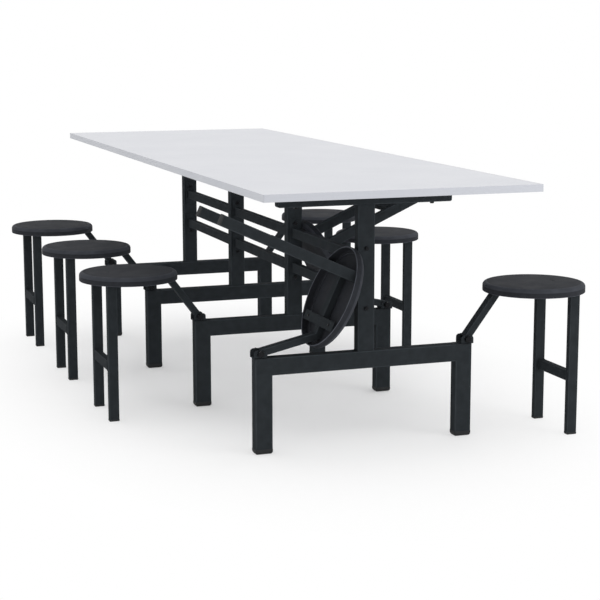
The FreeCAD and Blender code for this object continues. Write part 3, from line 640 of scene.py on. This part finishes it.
def finish_piece(name, bm, slot, body, replaced, place=None):
    """Make a bmesh into a piece that rides on a body and stands for CAD nodes."""
    if place is not None:
        bmesh.ops.transform(bm, matrix=place, verts=bm.verts)
    bmesh.ops.recalc_face_normals(bm, faces=bm.faces)
    # Mark the faces that get the painted highlight.
    mark_corners(bm)
    for face in bm.faces:
        face.smooth = True
    for edge in bm.edges:
        edge.smooth = len(edge.link_faces) == 2 and edge.calc_face_angle(0.0) < SHARP_ANGLE
    piece = put(name, mesh_from(bm, name))
    piece.data.materials.append(finishes()[slot])
    normals = piece.modifiers.new("Even normals", "WEIGHTED_NORMAL")
    normals.keep_sharp = True
    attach(piece, body)
    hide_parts(*replaced)


def hinge_of(stool):
    """The middle of a stool's hinge."""
    return Vector(JOINTS["fold_" + stool]["pos_m"])


def facing(stool):
    """A half turn for what stands at the left."""
    return Matrix.Rotation(math.pi if stool.endswith("l") else 0.0, 4, "Z")


def stool_place(stool):
    """Where a stool that stands at the origin of its hinge goes at rest."""
    limits = JOINTS["fold_" + stool]["range_deg"]
    folded = 0.0 if limits[1] else -limits[0]
    fold = Matrix.Rotation(math.radians(-folded), 4, "Y")
    return Matrix.Translation(hinge_of(stool)) @ facing(stool) @ fold


def finish_stool_piece(stool, kind, bm, slot, node, within=Matrix.Identity(4)):
    """Make a bmesh, built round the hinge of a standing stool, into a piece of a stool."""
    replaced = [f"stool_{stool}_{node}"]
    place = stool_place(stool) @ within
    finish_piece(f"stool_{stool}_{kind}", bm, slot, "stool_" + stool, replaced, place)


def stool_box(kind):
    """The box of a standing stool's node, measured from its hinge axis."""
    low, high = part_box("stool_1r_" + kind)
    return low - hinge_of("1r"), high - hinge_of("1r")


# ------------------------------------------------------------------ operators
class Builder:
    """What all the operators share."""

    bl_options = {"REGISTER", "UNDO"}

    def execute(self, context):
        self.build(context)
        return {"FINISHED"}


class CANTEEN_OT_board(Builder, bpy.types.Operator):
    """Build the laminated board and its edge band"""

    bl_idname = "canteen.board"
    bl_label = "Board and edge band"

    def build(self, context):
        size = sizes()
        low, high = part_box("tabletop")
        bm = bmesh.new()
        slab(bm, low, high, size.board_corner - BAND_THICK, "z", BOARD_FACE_EDGE)
        finish_piece("board", bm, "board", "table", ["tabletop"])

        low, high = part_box("tabletop_edge")
        bm = bmesh.new()
        verts = bar(bm, low, high, size.board_corner, "z")
        soften(bm, flat_edges(verts, "z", low.z) + flat_edges(verts, "z", high.z), size.board_edge, 3)
        caps = [face for face in bm.faces if face.calc_area() > BAND_FACE]
        bmesh.ops.inset_region(bm, faces=caps, thickness=BAND_CUT, use_even_offset=True)
        bmesh.ops.delete(bm, geom=caps, context="FACES_ONLY")
        finish_piece("edge_band", bm, "edge_band", "table", ["tabletop_edge"])


class CANTEEN_OT_legs(Builder, bpy.types.Operator):
    """Build the eight legs, each with its hinge bracket"""

    bl_idname = "canteen.legs"
    bl_label = "Legs and hinge brackets"

    def build(self, context):
        size = sizes()
        low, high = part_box("leg_1r")
        hinge = hinge_of("1r")
        depth = Vector((0, size.leg_deep / 2, 0))
        for stool in STOOLS:
            bm = bmesh.new()
            tube_low = Vector((low.x, 0, low.z)) - depth
            tube_high = Vector((low.x + size.leg_wide, 0, size.beam_top)) + depth
            verts = bar(bm, tube_low, tube_high, size.leg_corner, "z")
            soften(bm, flat_edges(verts, "z", size.beam_top), LEG_TOP_EDGE, 2)
            self.bracket(bm, hinge.x, size, high)
            place = Matrix.Translation((0, hinge_of(stool).y, 0)) @ facing(stool)
            finish_piece("leg_tube_" + stool, bm, "steel", "table", ["leg_" + stool], place)

    def bracket(self, bm, across, size, high):
        """The bent plate that holds the hinge: base, two ears with round corners, and the stop web."""
        inner, outer = across - size.bracket_wide / 2, across + size.bracket_wide / 2
        half = size.bracket_deep / 2
        base = size.beam_top + size.bracket_base
        slab(bm, (inner, -half, size.beam_top), (outer, half, base), 0, "z")
        for side in (-1, 1):
            near, far = sorted((side * half, side * (half - size.bracket_thick)))
            ear_low, ear_high = (inner, near, size.beam_top), (outer, far, high.z)
            round_ended(bm, ear_low, ear_high, size.bracket_round, high.z, PLATE_EDGE)
        stop_low = (inner, size.bracket_thick - half, base)
        stop_high = (inner + size.stop_thick, half - size.bracket_thick, size.beam_top + size.stop_high)
        slab(bm, stop_low, stop_high, 0, "z")


class CANTEEN_OT_frames(Builder, bpy.types.Operator):
    """Build the beams, posts and crossbars"""

    bl_idname = "canteen.frames"
    bl_label = "Beams, posts and crossbars"

    def build(self, context):
        size = sizes()
        for number in FRAMES:
            low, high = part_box(f"beam_{number}")
            bm = bmesh.new()
            bar(bm, low, high, size.leg_corner, "x")
            for side in (-1, 1):
                self.ground_weld(bm, low, high, side, size.leg_corner)
            finish_piece(f"beam_tube_{number}", bm, "steel", "table", [f"beam_{number}"])

            low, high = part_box(f"mast_{number}")
            crossbar_foot = high.z - size.crossbar_high
            half = size.mast_wide / 2
            bm = bmesh.new()
            bar(bm, (-half, low.y, low.z), (half, high.y, crossbar_foot), size.mast_corner, "z")
            foot = Vector((low.x, low.y, crossbar_foot))
            round_ended(bm, foot, high, size.crossbar_round, crossbar_foot, size.mast_corner, ROUND_STEPS)
            ends = [face for face in bm.faces if all(abs(abs(v.co.x) - high.x) < TOUCH for v in face.verts)]
            bmesh.ops.inset_individual(bm, faces=ends, thickness=size.frame_wall, depth=0.0)
            bmesh.ops.inset_individual(bm, faces=ends, thickness=PLUG_GAP, depth=-PLUG_SINK)
            for height in (low.z, crossbar_foot):
                centre = Vector((0, (low.y + high.y) / 2, height))
                weld(bm, centre, "z", size.mast_wide, high.y - low.y, size.mast_corner)
            finish_piece(f"post_and_crossbar_{number}", bm, "steel", "table", [f"mast_{number}"])

    def ground_weld(self, bm, low, high, side, corner):
        """Fill the grooves between a beam's end and its leg's round corners, ground flush with both."""
        end = high.x if side > 0 else low.x
        start, stop = sorted((end, end + side * corner))
        for near in (low.y, high.y - 3 * corner):
            bar(bm, (start, near, low.z), (stop, near + 3 * corner, high.z), corner, "x")


class CANTEEN_OT_rails(Builder, bpy.types.Operator):
    """Build the rails that join the posts, with their end plates"""

    bl_idname = "canteen.rails"
    bl_label = "Rails"

    def build(self, context):
        size = sizes()
        for name in RAILS:
            low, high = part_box(name)
            offset = -size.rail_offset if "upper" in name else size.rail_offset
            middle = (low.z + high.z) / 2 + offset
            bm = bmesh.new()
            half_thick, half_high = size.rail_thick / 2, size.rail_high / 2
            near, far = low.y + size.plate_thick, high.y - size.plate_thick
            bar(bm, (-half_thick, near, middle - half_high), (half_thick, far, middle + half_high),
                size.tube_corner, "y")
            for inner, outer in ((near, low.y), (far, high.y)):
                start, end = sorted((inner, outer))
                slab(bm, (low.x, start, low.z), (high.x, end, high.z), size.tube_corner, "y")
                weld(bm, Vector((0, inner, middle)), "y", size.rail_thick, size.rail_high, size.tube_corner)
            finish_piece(name.replace("rail", "rail_tube"), bm, "steel", "table", [name])


class CANTEEN_OT_fasteners(Builder, bpy.types.Operator):
    """Build the bolts and nuts of the rails and hinges and the screws of the board"""

    bl_idname = "canteen.fasteners"
    bl_label = "Bolts, nuts and screws"

    def build(self, context):
        size = sizes()
        lay = Matrix.Rotation(math.radians(-90), 4, "X")
        bm = bmesh.new()
        for stool in STOOLS:
            pivot = hinge_of(stool) - Vector((0, size.bracket_deep / 2, 0))
            self.through_bolt(bm, Matrix.Translation(pivot) @ lay, size.hinge_bolt, size.bracket_deep)
        finish_piece("hinge_bolts_and_nuts", bm, "fasteners", "table", ["hinge_bolts"])

        bm = bmesh.new()
        upper = self.rail_height("upper", -1, size)
        lower = self.rail_height("lower", 1, size)
        for number in FRAMES:
            low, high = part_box(f"mast_{number}")
            start = low.y - (size.plate_thick if number > FRAMES[0] else 0)
            end = high.y + (size.plate_thick if number < FRAMES[-1] else 0)
            for height in (upper, lower):
                place = Matrix.Translation((0, start, height)) @ lay
                self.through_bolt(bm, place, size.rail_bolt, end - start)
        finish_piece("rail_bolts_and_nuts", bm, "fasteners", "table", ["rail_bolts"])

        bm = bmesh.new()
        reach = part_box("tabletop_screws")[1].x - size.board_screw[3]
        for number in FRAMES:
            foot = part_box(f"mast_{number}")[1].z - size.crossbar_high
            along = hinge_of(f"{number}r").y
            for side in (-1, 1):
                before = set(bm.verts)
                self.bolt(bm, size.board_screw, size.crossbar_high)
                self.move_new(bm, before, Matrix.Translation((side * reach, along, foot)))
        finish_piece("board_screws", bm, "fasteners", "table", ["tabletop_screws"])

    def rail_height(self, row, sign, size):
        """The height of a row's bolts, past the middle of its rails."""
        low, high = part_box(f"rail_{row}_12")
        return (low.z + high.z) / 2 + sign * (size.rail_offset - size.rail_bolt_offset)

    def move_new(self, bm, before, place):
        bmesh.ops.transform(bm, matrix=place, verts=newer(bm, before))

    def through_bolt(self, bm, place, kind, grip):
        """A bolt with its washer, and a nut with its own at the end of its grip."""
        before = set(bm.verts)
        shank, flats, head, washer_radius, washer_thick = kind
        nut = grip + washer_thick
        self.bolt(bm, kind, nut + head * NUT_RATIO + BOLT_TIP)
        washer(bm, washer_radius, grip, nut)
        hexagon(bm, flats / math.sqrt(3), nut, nut + head * NUT_RATIO, shank * HEAD_BEVEL)
        self.move_new(bm, before, place)

    def bolt(self, bm, kind, tip):
        """A hexagon bolt with its washer, from z = 0 up to its tip."""
        shank, flats, head, washer_radius, washer_thick = kind
        bevel = shank * HEAD_BEVEL
        washer(bm, washer_radius, -washer_thick, 0)
        hexagon(bm, flats / math.sqrt(3), -washer_thick, -washer_thick - head, bevel)
        profile = points((0, 0), (shank, 0), (shank, tip - bevel), (shank - bevel, tip), (0, tip))
        lathe(bm, profile, SHANK_SIDES)


class CANTEEN_OT_leg_caps(Builder, bpy.types.Operator):
    """Build the foot caps of the eight legs"""

    bl_idname = "canteen.leg_caps"
    bl_label = "Foot caps of the legs"

    def build(self, context):
        size = sizes()
        lip = size.foot_lip
        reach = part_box("leg_foot_caps")[1].x - lip - size.leg_wide / 2
        wide, deep, top = size.leg_wide + 2 * lip, size.leg_deep + 2 * lip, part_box("leg_1r")[0].z
        bm = bmesh.new()
        for stool in STOOLS:
            place = (-reach if stool.endswith("l") else reach, hinge_of(stool).y, 0)
            foot_cap(bm, place, wide, deep, top, size.leg_corner + lip, size.foot_draw, size.foot_draw_high)
        finish_piece("leg_feet", bm, "foot_plastic", "table", ["leg_foot_caps"])


def foot_cap(bm, centre, wide, deep, high, corner, draw, draw_high):
    """A plastic foot, softened at its upper lip and drawn in towards its tread along a quarter of an oval."""
    before = set(bm.verts)
    faces = grow(bm, faces_of(section(bm, wide, deep, corner)), (0, 0, draw_high - high), True)[0]
    inset = drop = 0.0
    for step in range(1, FOOT_STEPS + 1):
        angle = math.pi / 2 * step / FOOT_STEPS
        deeper, lower = draw * (1 - math.cos(angle)), draw_high * math.sin(angle)
        faces, verts = grow(bm, faces, Vector((0, 0, drop - lower)))
        narrower = [(side - 2 * deeper) / (side - 2 * inset) for side in (wide, deep)]
        bmesh.ops.scale(bm, vec=(*narrower, 1.0), verts=verts)
        inset, drop = deeper, lower
    soften(bm, flat_edges(newer(bm, before), "z", 0.0), FOOT_EDGE, 2)
    bmesh.ops.translate(bm, vec=Vector(centre) + Vector((0, 0, high)), verts=newer(bm, before))


class CANTEEN_OT_stool_frames(Builder, bpy.types.Operator):
    """Build the welded tube frames of the eight stools"""

    bl_idname = "canteen.stool_frames"
    bl_label = "Stool frames"

    def build(self, context):
        for stool in STOOLS:
            bm = bmesh.new()
            self.barrel(bm)
            self.arm(bm)
            self.stand(bm)
            self.strap(bm)
            finish_stool_piece(stool, "tubes", bm, "steel", "frame")

    def barrel(self, bm):
        """The barrel that turns on the hinge bolt."""
        size = sizes()
        half, lip = size.barrel_long / 2, BARREL_LIP
        outer, inner = size.barrel_radius, size.hinge_bolt[0] + BARREL_PLAY
        profile = points((inner, -half), (outer - lip, -half), (outer, lip - half))
        profile += points((outer, half - lip), (outer - lip, half), (inner, half))
        verts = lathe(bm, profile, BARREL_SIDES, closed=True)
        bmesh.ops.rotate(bm, cent=(0, 0, 0), matrix=Matrix.Rotation(math.radians(90), 3, "X"), verts=verts)

    def arm(self, bm):
        """The arm: a rising tube, mitred to one that runs level to the bar between the legs."""
        size = sizes()
        high = stool_box("frame")[1]
        level = high.z - size.tube_thick / 2
        knee = level / math.tan(ARM_SLOPE)
        ring = section(bm, size.tube_thick, size.tube_wide, size.tube_corner, 8)
        faces, corner = grow(bm, faces_of(ring), Vector((0, 0, math.hypot(knee, level))))
        for vert in ring:
            vert.co.z = math.sqrt(max(0.0, (size.barrel_radius - SADDLE_SINK) ** 2 - vert.co.x ** 2))
        for vert in corner:
            vert.co.z -= vert.co.x * math.tan(ARM_SLOPE / 2)
        bmesh.ops.transform(bm, matrix=Matrix.Rotation(math.pi / 2 - ARM_SLOPE, 4, "Y"), verts=ring + corner)
        for vert in grow(bm, faces, (0, 0, 0))[1]:
            vert.co.x = high.x - size.tube_wide

    def stand(self, bm):
        """The two legs, the bar under the seat and the lower bar."""
        size = sizes()
        low, high = stool_box("frame")
        corner = size.tube_corner
        inner, outer = high.x - size.tube_wide, high.x
        half = size.tube_thick / 2
        leg_top = high.z - size.leg_gap
        for side in (-1, 1):
            middle = side * size.leg_side
            verts = bar(bm, (inner, middle - half, low.z), (outer, middle + half, leg_top), corner, "z")
            top = [face for face in faces_of(verts) if face.calc_center_median().z > leg_top - TOUCH]
            bmesh.ops.inset_individual(bm, faces=top, thickness=size.tube_wall, depth=0.0)
            bmesh.ops.inset_individual(bm, faces=top, thickness=HOLLOW_STEP, depth=-LEG_HOLLOW)
        reach = size.leg_side - half
        bar(bm, (inner, -reach, high.z - size.tube_thick), (outer, reach, high.z), corner, "y")
        foot = size.low_bar - hinge_of("1r").z
        bar(bm, (outer - size.tube_thick, -reach, foot), (outer, reach, foot + size.tube_wide), corner, "y")
        for side in (-1, 1):
            place = Vector((outer - half, side * reach, foot + size.tube_wide / 2))
            weld(bm, place, "y", size.tube_thick, size.tube_wide, corner)
            place = Vector(((inner + outer) / 2, side * reach, high.z - half))
            weld(bm, place, "y", size.tube_wide, size.tube_thick, corner)
        weld(bm, Vector((inner, 0, high.z - half)), "x", size.tube_wide, size.tube_thick, corner)

    def strap(self, bm):
        """The flat bar under the arm, round at its corners."""
        size = sizes()
        low, high = stool_box("frame")
        middle = sum(corner.x for corner in stool_box("screws")) / 2
        top = high.z - size.tube_thick
        half = size.strap_wide / 2
        strap_low = (middle - half, low.y, top - size.strap_thick)
        slab(bm, strap_low, (middle + half, high.y, top), size.tube_corner, "z")


class CANTEEN_OT_seats(Builder, bpy.types.Operator):
    """Build the eight moulded seats"""

    bl_idname = "canteen.seats"
    bl_label = "Seats"

    def build(self, context):
        size = sizes()
        low, high = stool_box("seat")
        radius = (high.y - low.y) / 2
        screws_low, screws_high = stool_box("screws")
        back = (screws_low.x + screws_high.x) / 2
        centre = Vector((high.x - radius, 0, 0))
        for stool in STOOLS:
            bm = bmesh.new()
            lathe(bm, self.profile(radius, low.z, high.z), SEAT_SIDES)
            for side in (-1, 1):
                place = Vector((back - centre.x, side * (screws_high.y - size.screw_head), 0))
                self.boss(bm, place, low.z, high.z)
            finish_stool_piece(stool, "shell", bm, "seat_plastic", "seat", Matrix.Translation(centre))

    def profile(self, radius, foot, top):
        """Half the seat's section: the ringed top, the round edge, the lip, the ledge and the pan."""
        size = sizes()
        floor, inner = top - size.seat_floor, radius - size.seat_wall
        ledge, ledge_low = inner - size.seat_ledge, floor - size.seat_ledge_high
        ring, groove, lip, inside = size.seat_ring, size.seat_ring_half, size.seat_lip, size.seat_inner_round
        path = points((0, top), (ring * 0.7, top), (ring - groove, top), (ring, top - groove / 2))
        path += points((ring + groove, top))
        path += arc((radius - size.seat_round, top - size.seat_round), size.seat_round, 90, 0, 10)
        path += arc((radius - lip, foot + lip), lip, 0, -90, 3)
        path += arc((inner + lip, foot + lip), lip, -90, -180, 3)
        path += arc((inner - inside, ledge_low - inside), inside, 0, 90, 4)
        path += arc((ledge, ledge_low + lip / 2), lip / 2, -90, -180, 2)
        return path + points((ledge - lip / 2, floor), (0, floor))

    def boss(self, bm, place, foot, top):
        """A round boss under the seat that takes a strap screw."""
        size = sizes()
        low, high = foot + size.strap_thick, top - size.seat_floor
        profile = points((BOSS_HOLE, low), (BOSS_FOOT, low), (BOSS_FOOT + BOSS_LIP, low + BOSS_LIP))
        verts = lathe(bm, profile + points((BOSS_ROOT, high)), SCREW_SIDES)
        bmesh.ops.translate(bm, vec=place, verts=verts)


class CANTEEN_OT_stool_trim(Builder, bpy.types.Operator):
    """Build the stools' strap screws and foot caps"""

    bl_idname = "canteen.stool_trim"
    bl_label = "Strap screws and stool feet"

    def build(self, context):
        size = sizes()
        low, high = stool_box("screws")
        rim = stool_box("seat")[0].z
        foot_low, foot_high = stool_box("foot_caps")
        top = stool_box("frame")[0].z
        wide = foot_high.x - foot_low.x
        deep = size.tube_thick + wide - size.tube_wide
        for stool in STOOLS:
            bm = bmesh.new()
            for side in (-1, 1):
                self.screw(bm, Vector(((low.x + high.x) / 2, side * (high.y - size.screw_head), rim)))
            finish_stool_piece(stool, "strap_screws", bm, "fasteners", "screws")
            bm = bmesh.new()
            for side in (-1, 1):
                place = ((foot_low.x + foot_high.x) / 2, side * size.leg_side, foot_low.z)
                foot_cap(
                    bm, place, wide, deep, top - foot_low.z, size.tube_corner, size.stool_foot_draw,
                    size.stool_foot_draw_high,
                )
            finish_stool_piece(stool, "feet", bm, "foot_plastic", "foot_caps")

    def screw(self, bm, place):
        """A round-headed screw with a round socket, seen from below."""
        verts = lathe(bm, points(*SCREW_SECTION), SCREW_SIDES)
        bmesh.ops.translate(bm, vec=place, verts=verts)


class CANTEEN_OT_studio(Builder, bpy.types.Operator):
    """Build the floor, the lamps and the camera"""

    bl_idname = "canteen.studio"
    bl_label = "Studio"

    def build(self, context):
        studio = context.scene.canteen_studio
        self.floor()
        self.world(studio.sky)
        self.lamp("overhead_lamp", OVERHEAD_WAY, OVERHEAD_SPREAD, studio.key)
        self.panel("front_lamp", studio)
        camera = bpy.data.cameras.new("studio_camera")
        camera.sensor_width = 36.0
        camera.lens = studio.lens
        camera.shift_x = studio.shift_across
        camera.shift_y = studio.shift_up
        camera.clip_end = 300.0
        holder = put("studio_camera", camera)
        holder.location = studio.eye
        holder.rotation_euler = (math.pi / 2 - studio.tilt, 0.0, -studio.pan)
        context.scene.camera = holder
        context.scene.view_settings.view_transform = "Standard"

    def floor(self):
        """A wide pale floor that fades to white away from the table."""
        bm = bmesh.new()
        bmesh.ops.create_grid(bm, x_segments=8, y_segments=8, size=FLOOR_HALF)
        floor = put("studio_floor", mesh_from(bm, "studio_floor"))
        floor.location.z = -FLOOR_DROP
        finish = Finish("studio_floor", colours().floor, 0.9, 0.0)
        finish.mottle(finish.noise(3.0), 0.997, 1.003)
        tree, nodes, links = finish.tree, finish.nodes, finish.links
        oval = nodes.new("ShaderNodeVectorMath")
        oval.operation = "MULTIPLY"
        oval.inputs[1].default_value = (1.0, 1.0 / FLOOR_LONG, 0.0)
        links.new(finish.place, oval.inputs[0])
        away = nodes.new("ShaderNodeVectorMath")
        away.operation = "LENGTH"
        links.new(oval.outputs["Vector"], away.inputs[0])
        fade = finish.ranged(away.outputs["Value"], *FADE_SHARE, *FADE_REACH)
        path = nodes.new("ShaderNodeLightPath")
        seen = operate(tree, "MAXIMUM", path.outputs["Is Camera Ray"], path.outputs["Is Glossy Ray"])
        share = operate(tree, "MULTIPLY", fade, seen)
        glow = nodes.new("ShaderNodeEmission")
        blend(tree, share, finish.shader.outputs[0], glow.outputs[0], "Material Output")
        floor.data.materials.append(finish.material)

    def world(self, strength):
        """Even light from all round, seen as plain white."""
        world = bpy.data.worlds.new("studio_world")
        bpy.context.scene.world = world
        world.use_nodes = True
        tree = world.node_tree
        light = tree.nodes["Background"]
        white = tree.nodes.new("ShaderNodeBackground")
        for background, bright in ((light, strength), (white, 1.0)):
            background.inputs["Color"].default_value = (1.0, 1.0, 1.0, 1.0)
            background.inputs["Strength"].default_value = bright
        path = tree.nodes.new("ShaderNodeLightPath")
        seen = path.outputs["Is Camera Ray"]
        for kind in ("Is Glossy Ray", "Is Transmission Ray"):
            seen = operate(tree, "MAXIMUM", seen, path.outputs[kind])
        blend(tree, seen, light.outputs[0], white.outputs[0], "World Output")

    def panel(self, name, studio):
        """A soft square lamp that faces the middle of the table and leaves no glare on the board."""
        data = bpy.data.lights.new(name, "AREA")
        data.size = studio.front_wide
        data.energy = studio.front
        lamp = put(name, data)
        lamp.location = studio.front_place
        lamp.visible_glossy = False
        toward = Vector((0, 0, studio.front_aim)) - lamp.location
        lamp.rotation_euler = toward.to_track_quat("-Z", "Y").to_euler()

    def lamp(self, name, toward, spread, strength):
        """A wide, soft, far lamp that shines one way."""
        data = bpy.data.lights.new(name, "SUN")
        data.angle = math.radians(spread)
        data.energy = strength
        lamp = put(name, data)
        lamp.rotation_euler = Vector(toward).to_track_quat("-Z", "Y").to_euler()


STEPS = (
    CANTEEN_OT_board,
    CANTEEN_OT_legs,
    CANTEEN_OT_frames,
    CANTEEN_OT_rails,
    CANTEEN_OT_fasteners,
    CANTEEN_OT_leg_caps,
    CANTEEN_OT_stool_frames,
    CANTEEN_OT_seats,
    CANTEEN_OT_stool_trim,
    CANTEEN_OT_studio,
)


class CANTEEN_PT_panel(bpy.types.Panel):
    """Lists the steps that build the table and its settings"""

    bl_idname = "CANTEEN_PT_panel"
    bl_label = "Canteen table"
    bl_space_type = "VIEW_3D"
    bl_region_type = "UI"
    bl_category = "Canteen table"

    def draw(self, context):
        for step in STEPS:
            self.layout.operator(step.bl_idname)
        scene = context.scene
        for group in (scene.canteen_sizes, scene.canteen_colours, scene.canteen_studio):
            box = self.layout.box()
            for name in group.bl_rna.properties.keys():
                if name not in ("rna_type", "name"):
                    box.prop(group, name)


CLASSES = (CanteenSizes, CanteenColours, CanteenStudio) + STEPS + (CANTEEN_PT_panel,)


def register():
    for each in CLASSES:
        bpy.utils.register_class(each)
    bpy.types.Scene.canteen_sizes = PointerProperty(type=CanteenSizes)
    bpy.types.Scene.canteen_colours = PointerProperty(type=CanteenColours)
    bpy.types.Scene.canteen_studio = PointerProperty(type=CanteenStudio)


def unregister():
    del bpy.types.Scene.canteen_studio
    del bpy.types.Scene.canteen_colours
    del bpy.types.Scene.canteen_sizes
    for each in reversed(CLASSES):
        bpy.utils.unregister_class(each)


def main():
    """Build everything in order."""
    register()
    for step in STEPS:
        group, name = step.bl_idname.split(".")
        getattr(getattr(bpy.ops, group), name)()


if __name__ == "__main__":
    main()
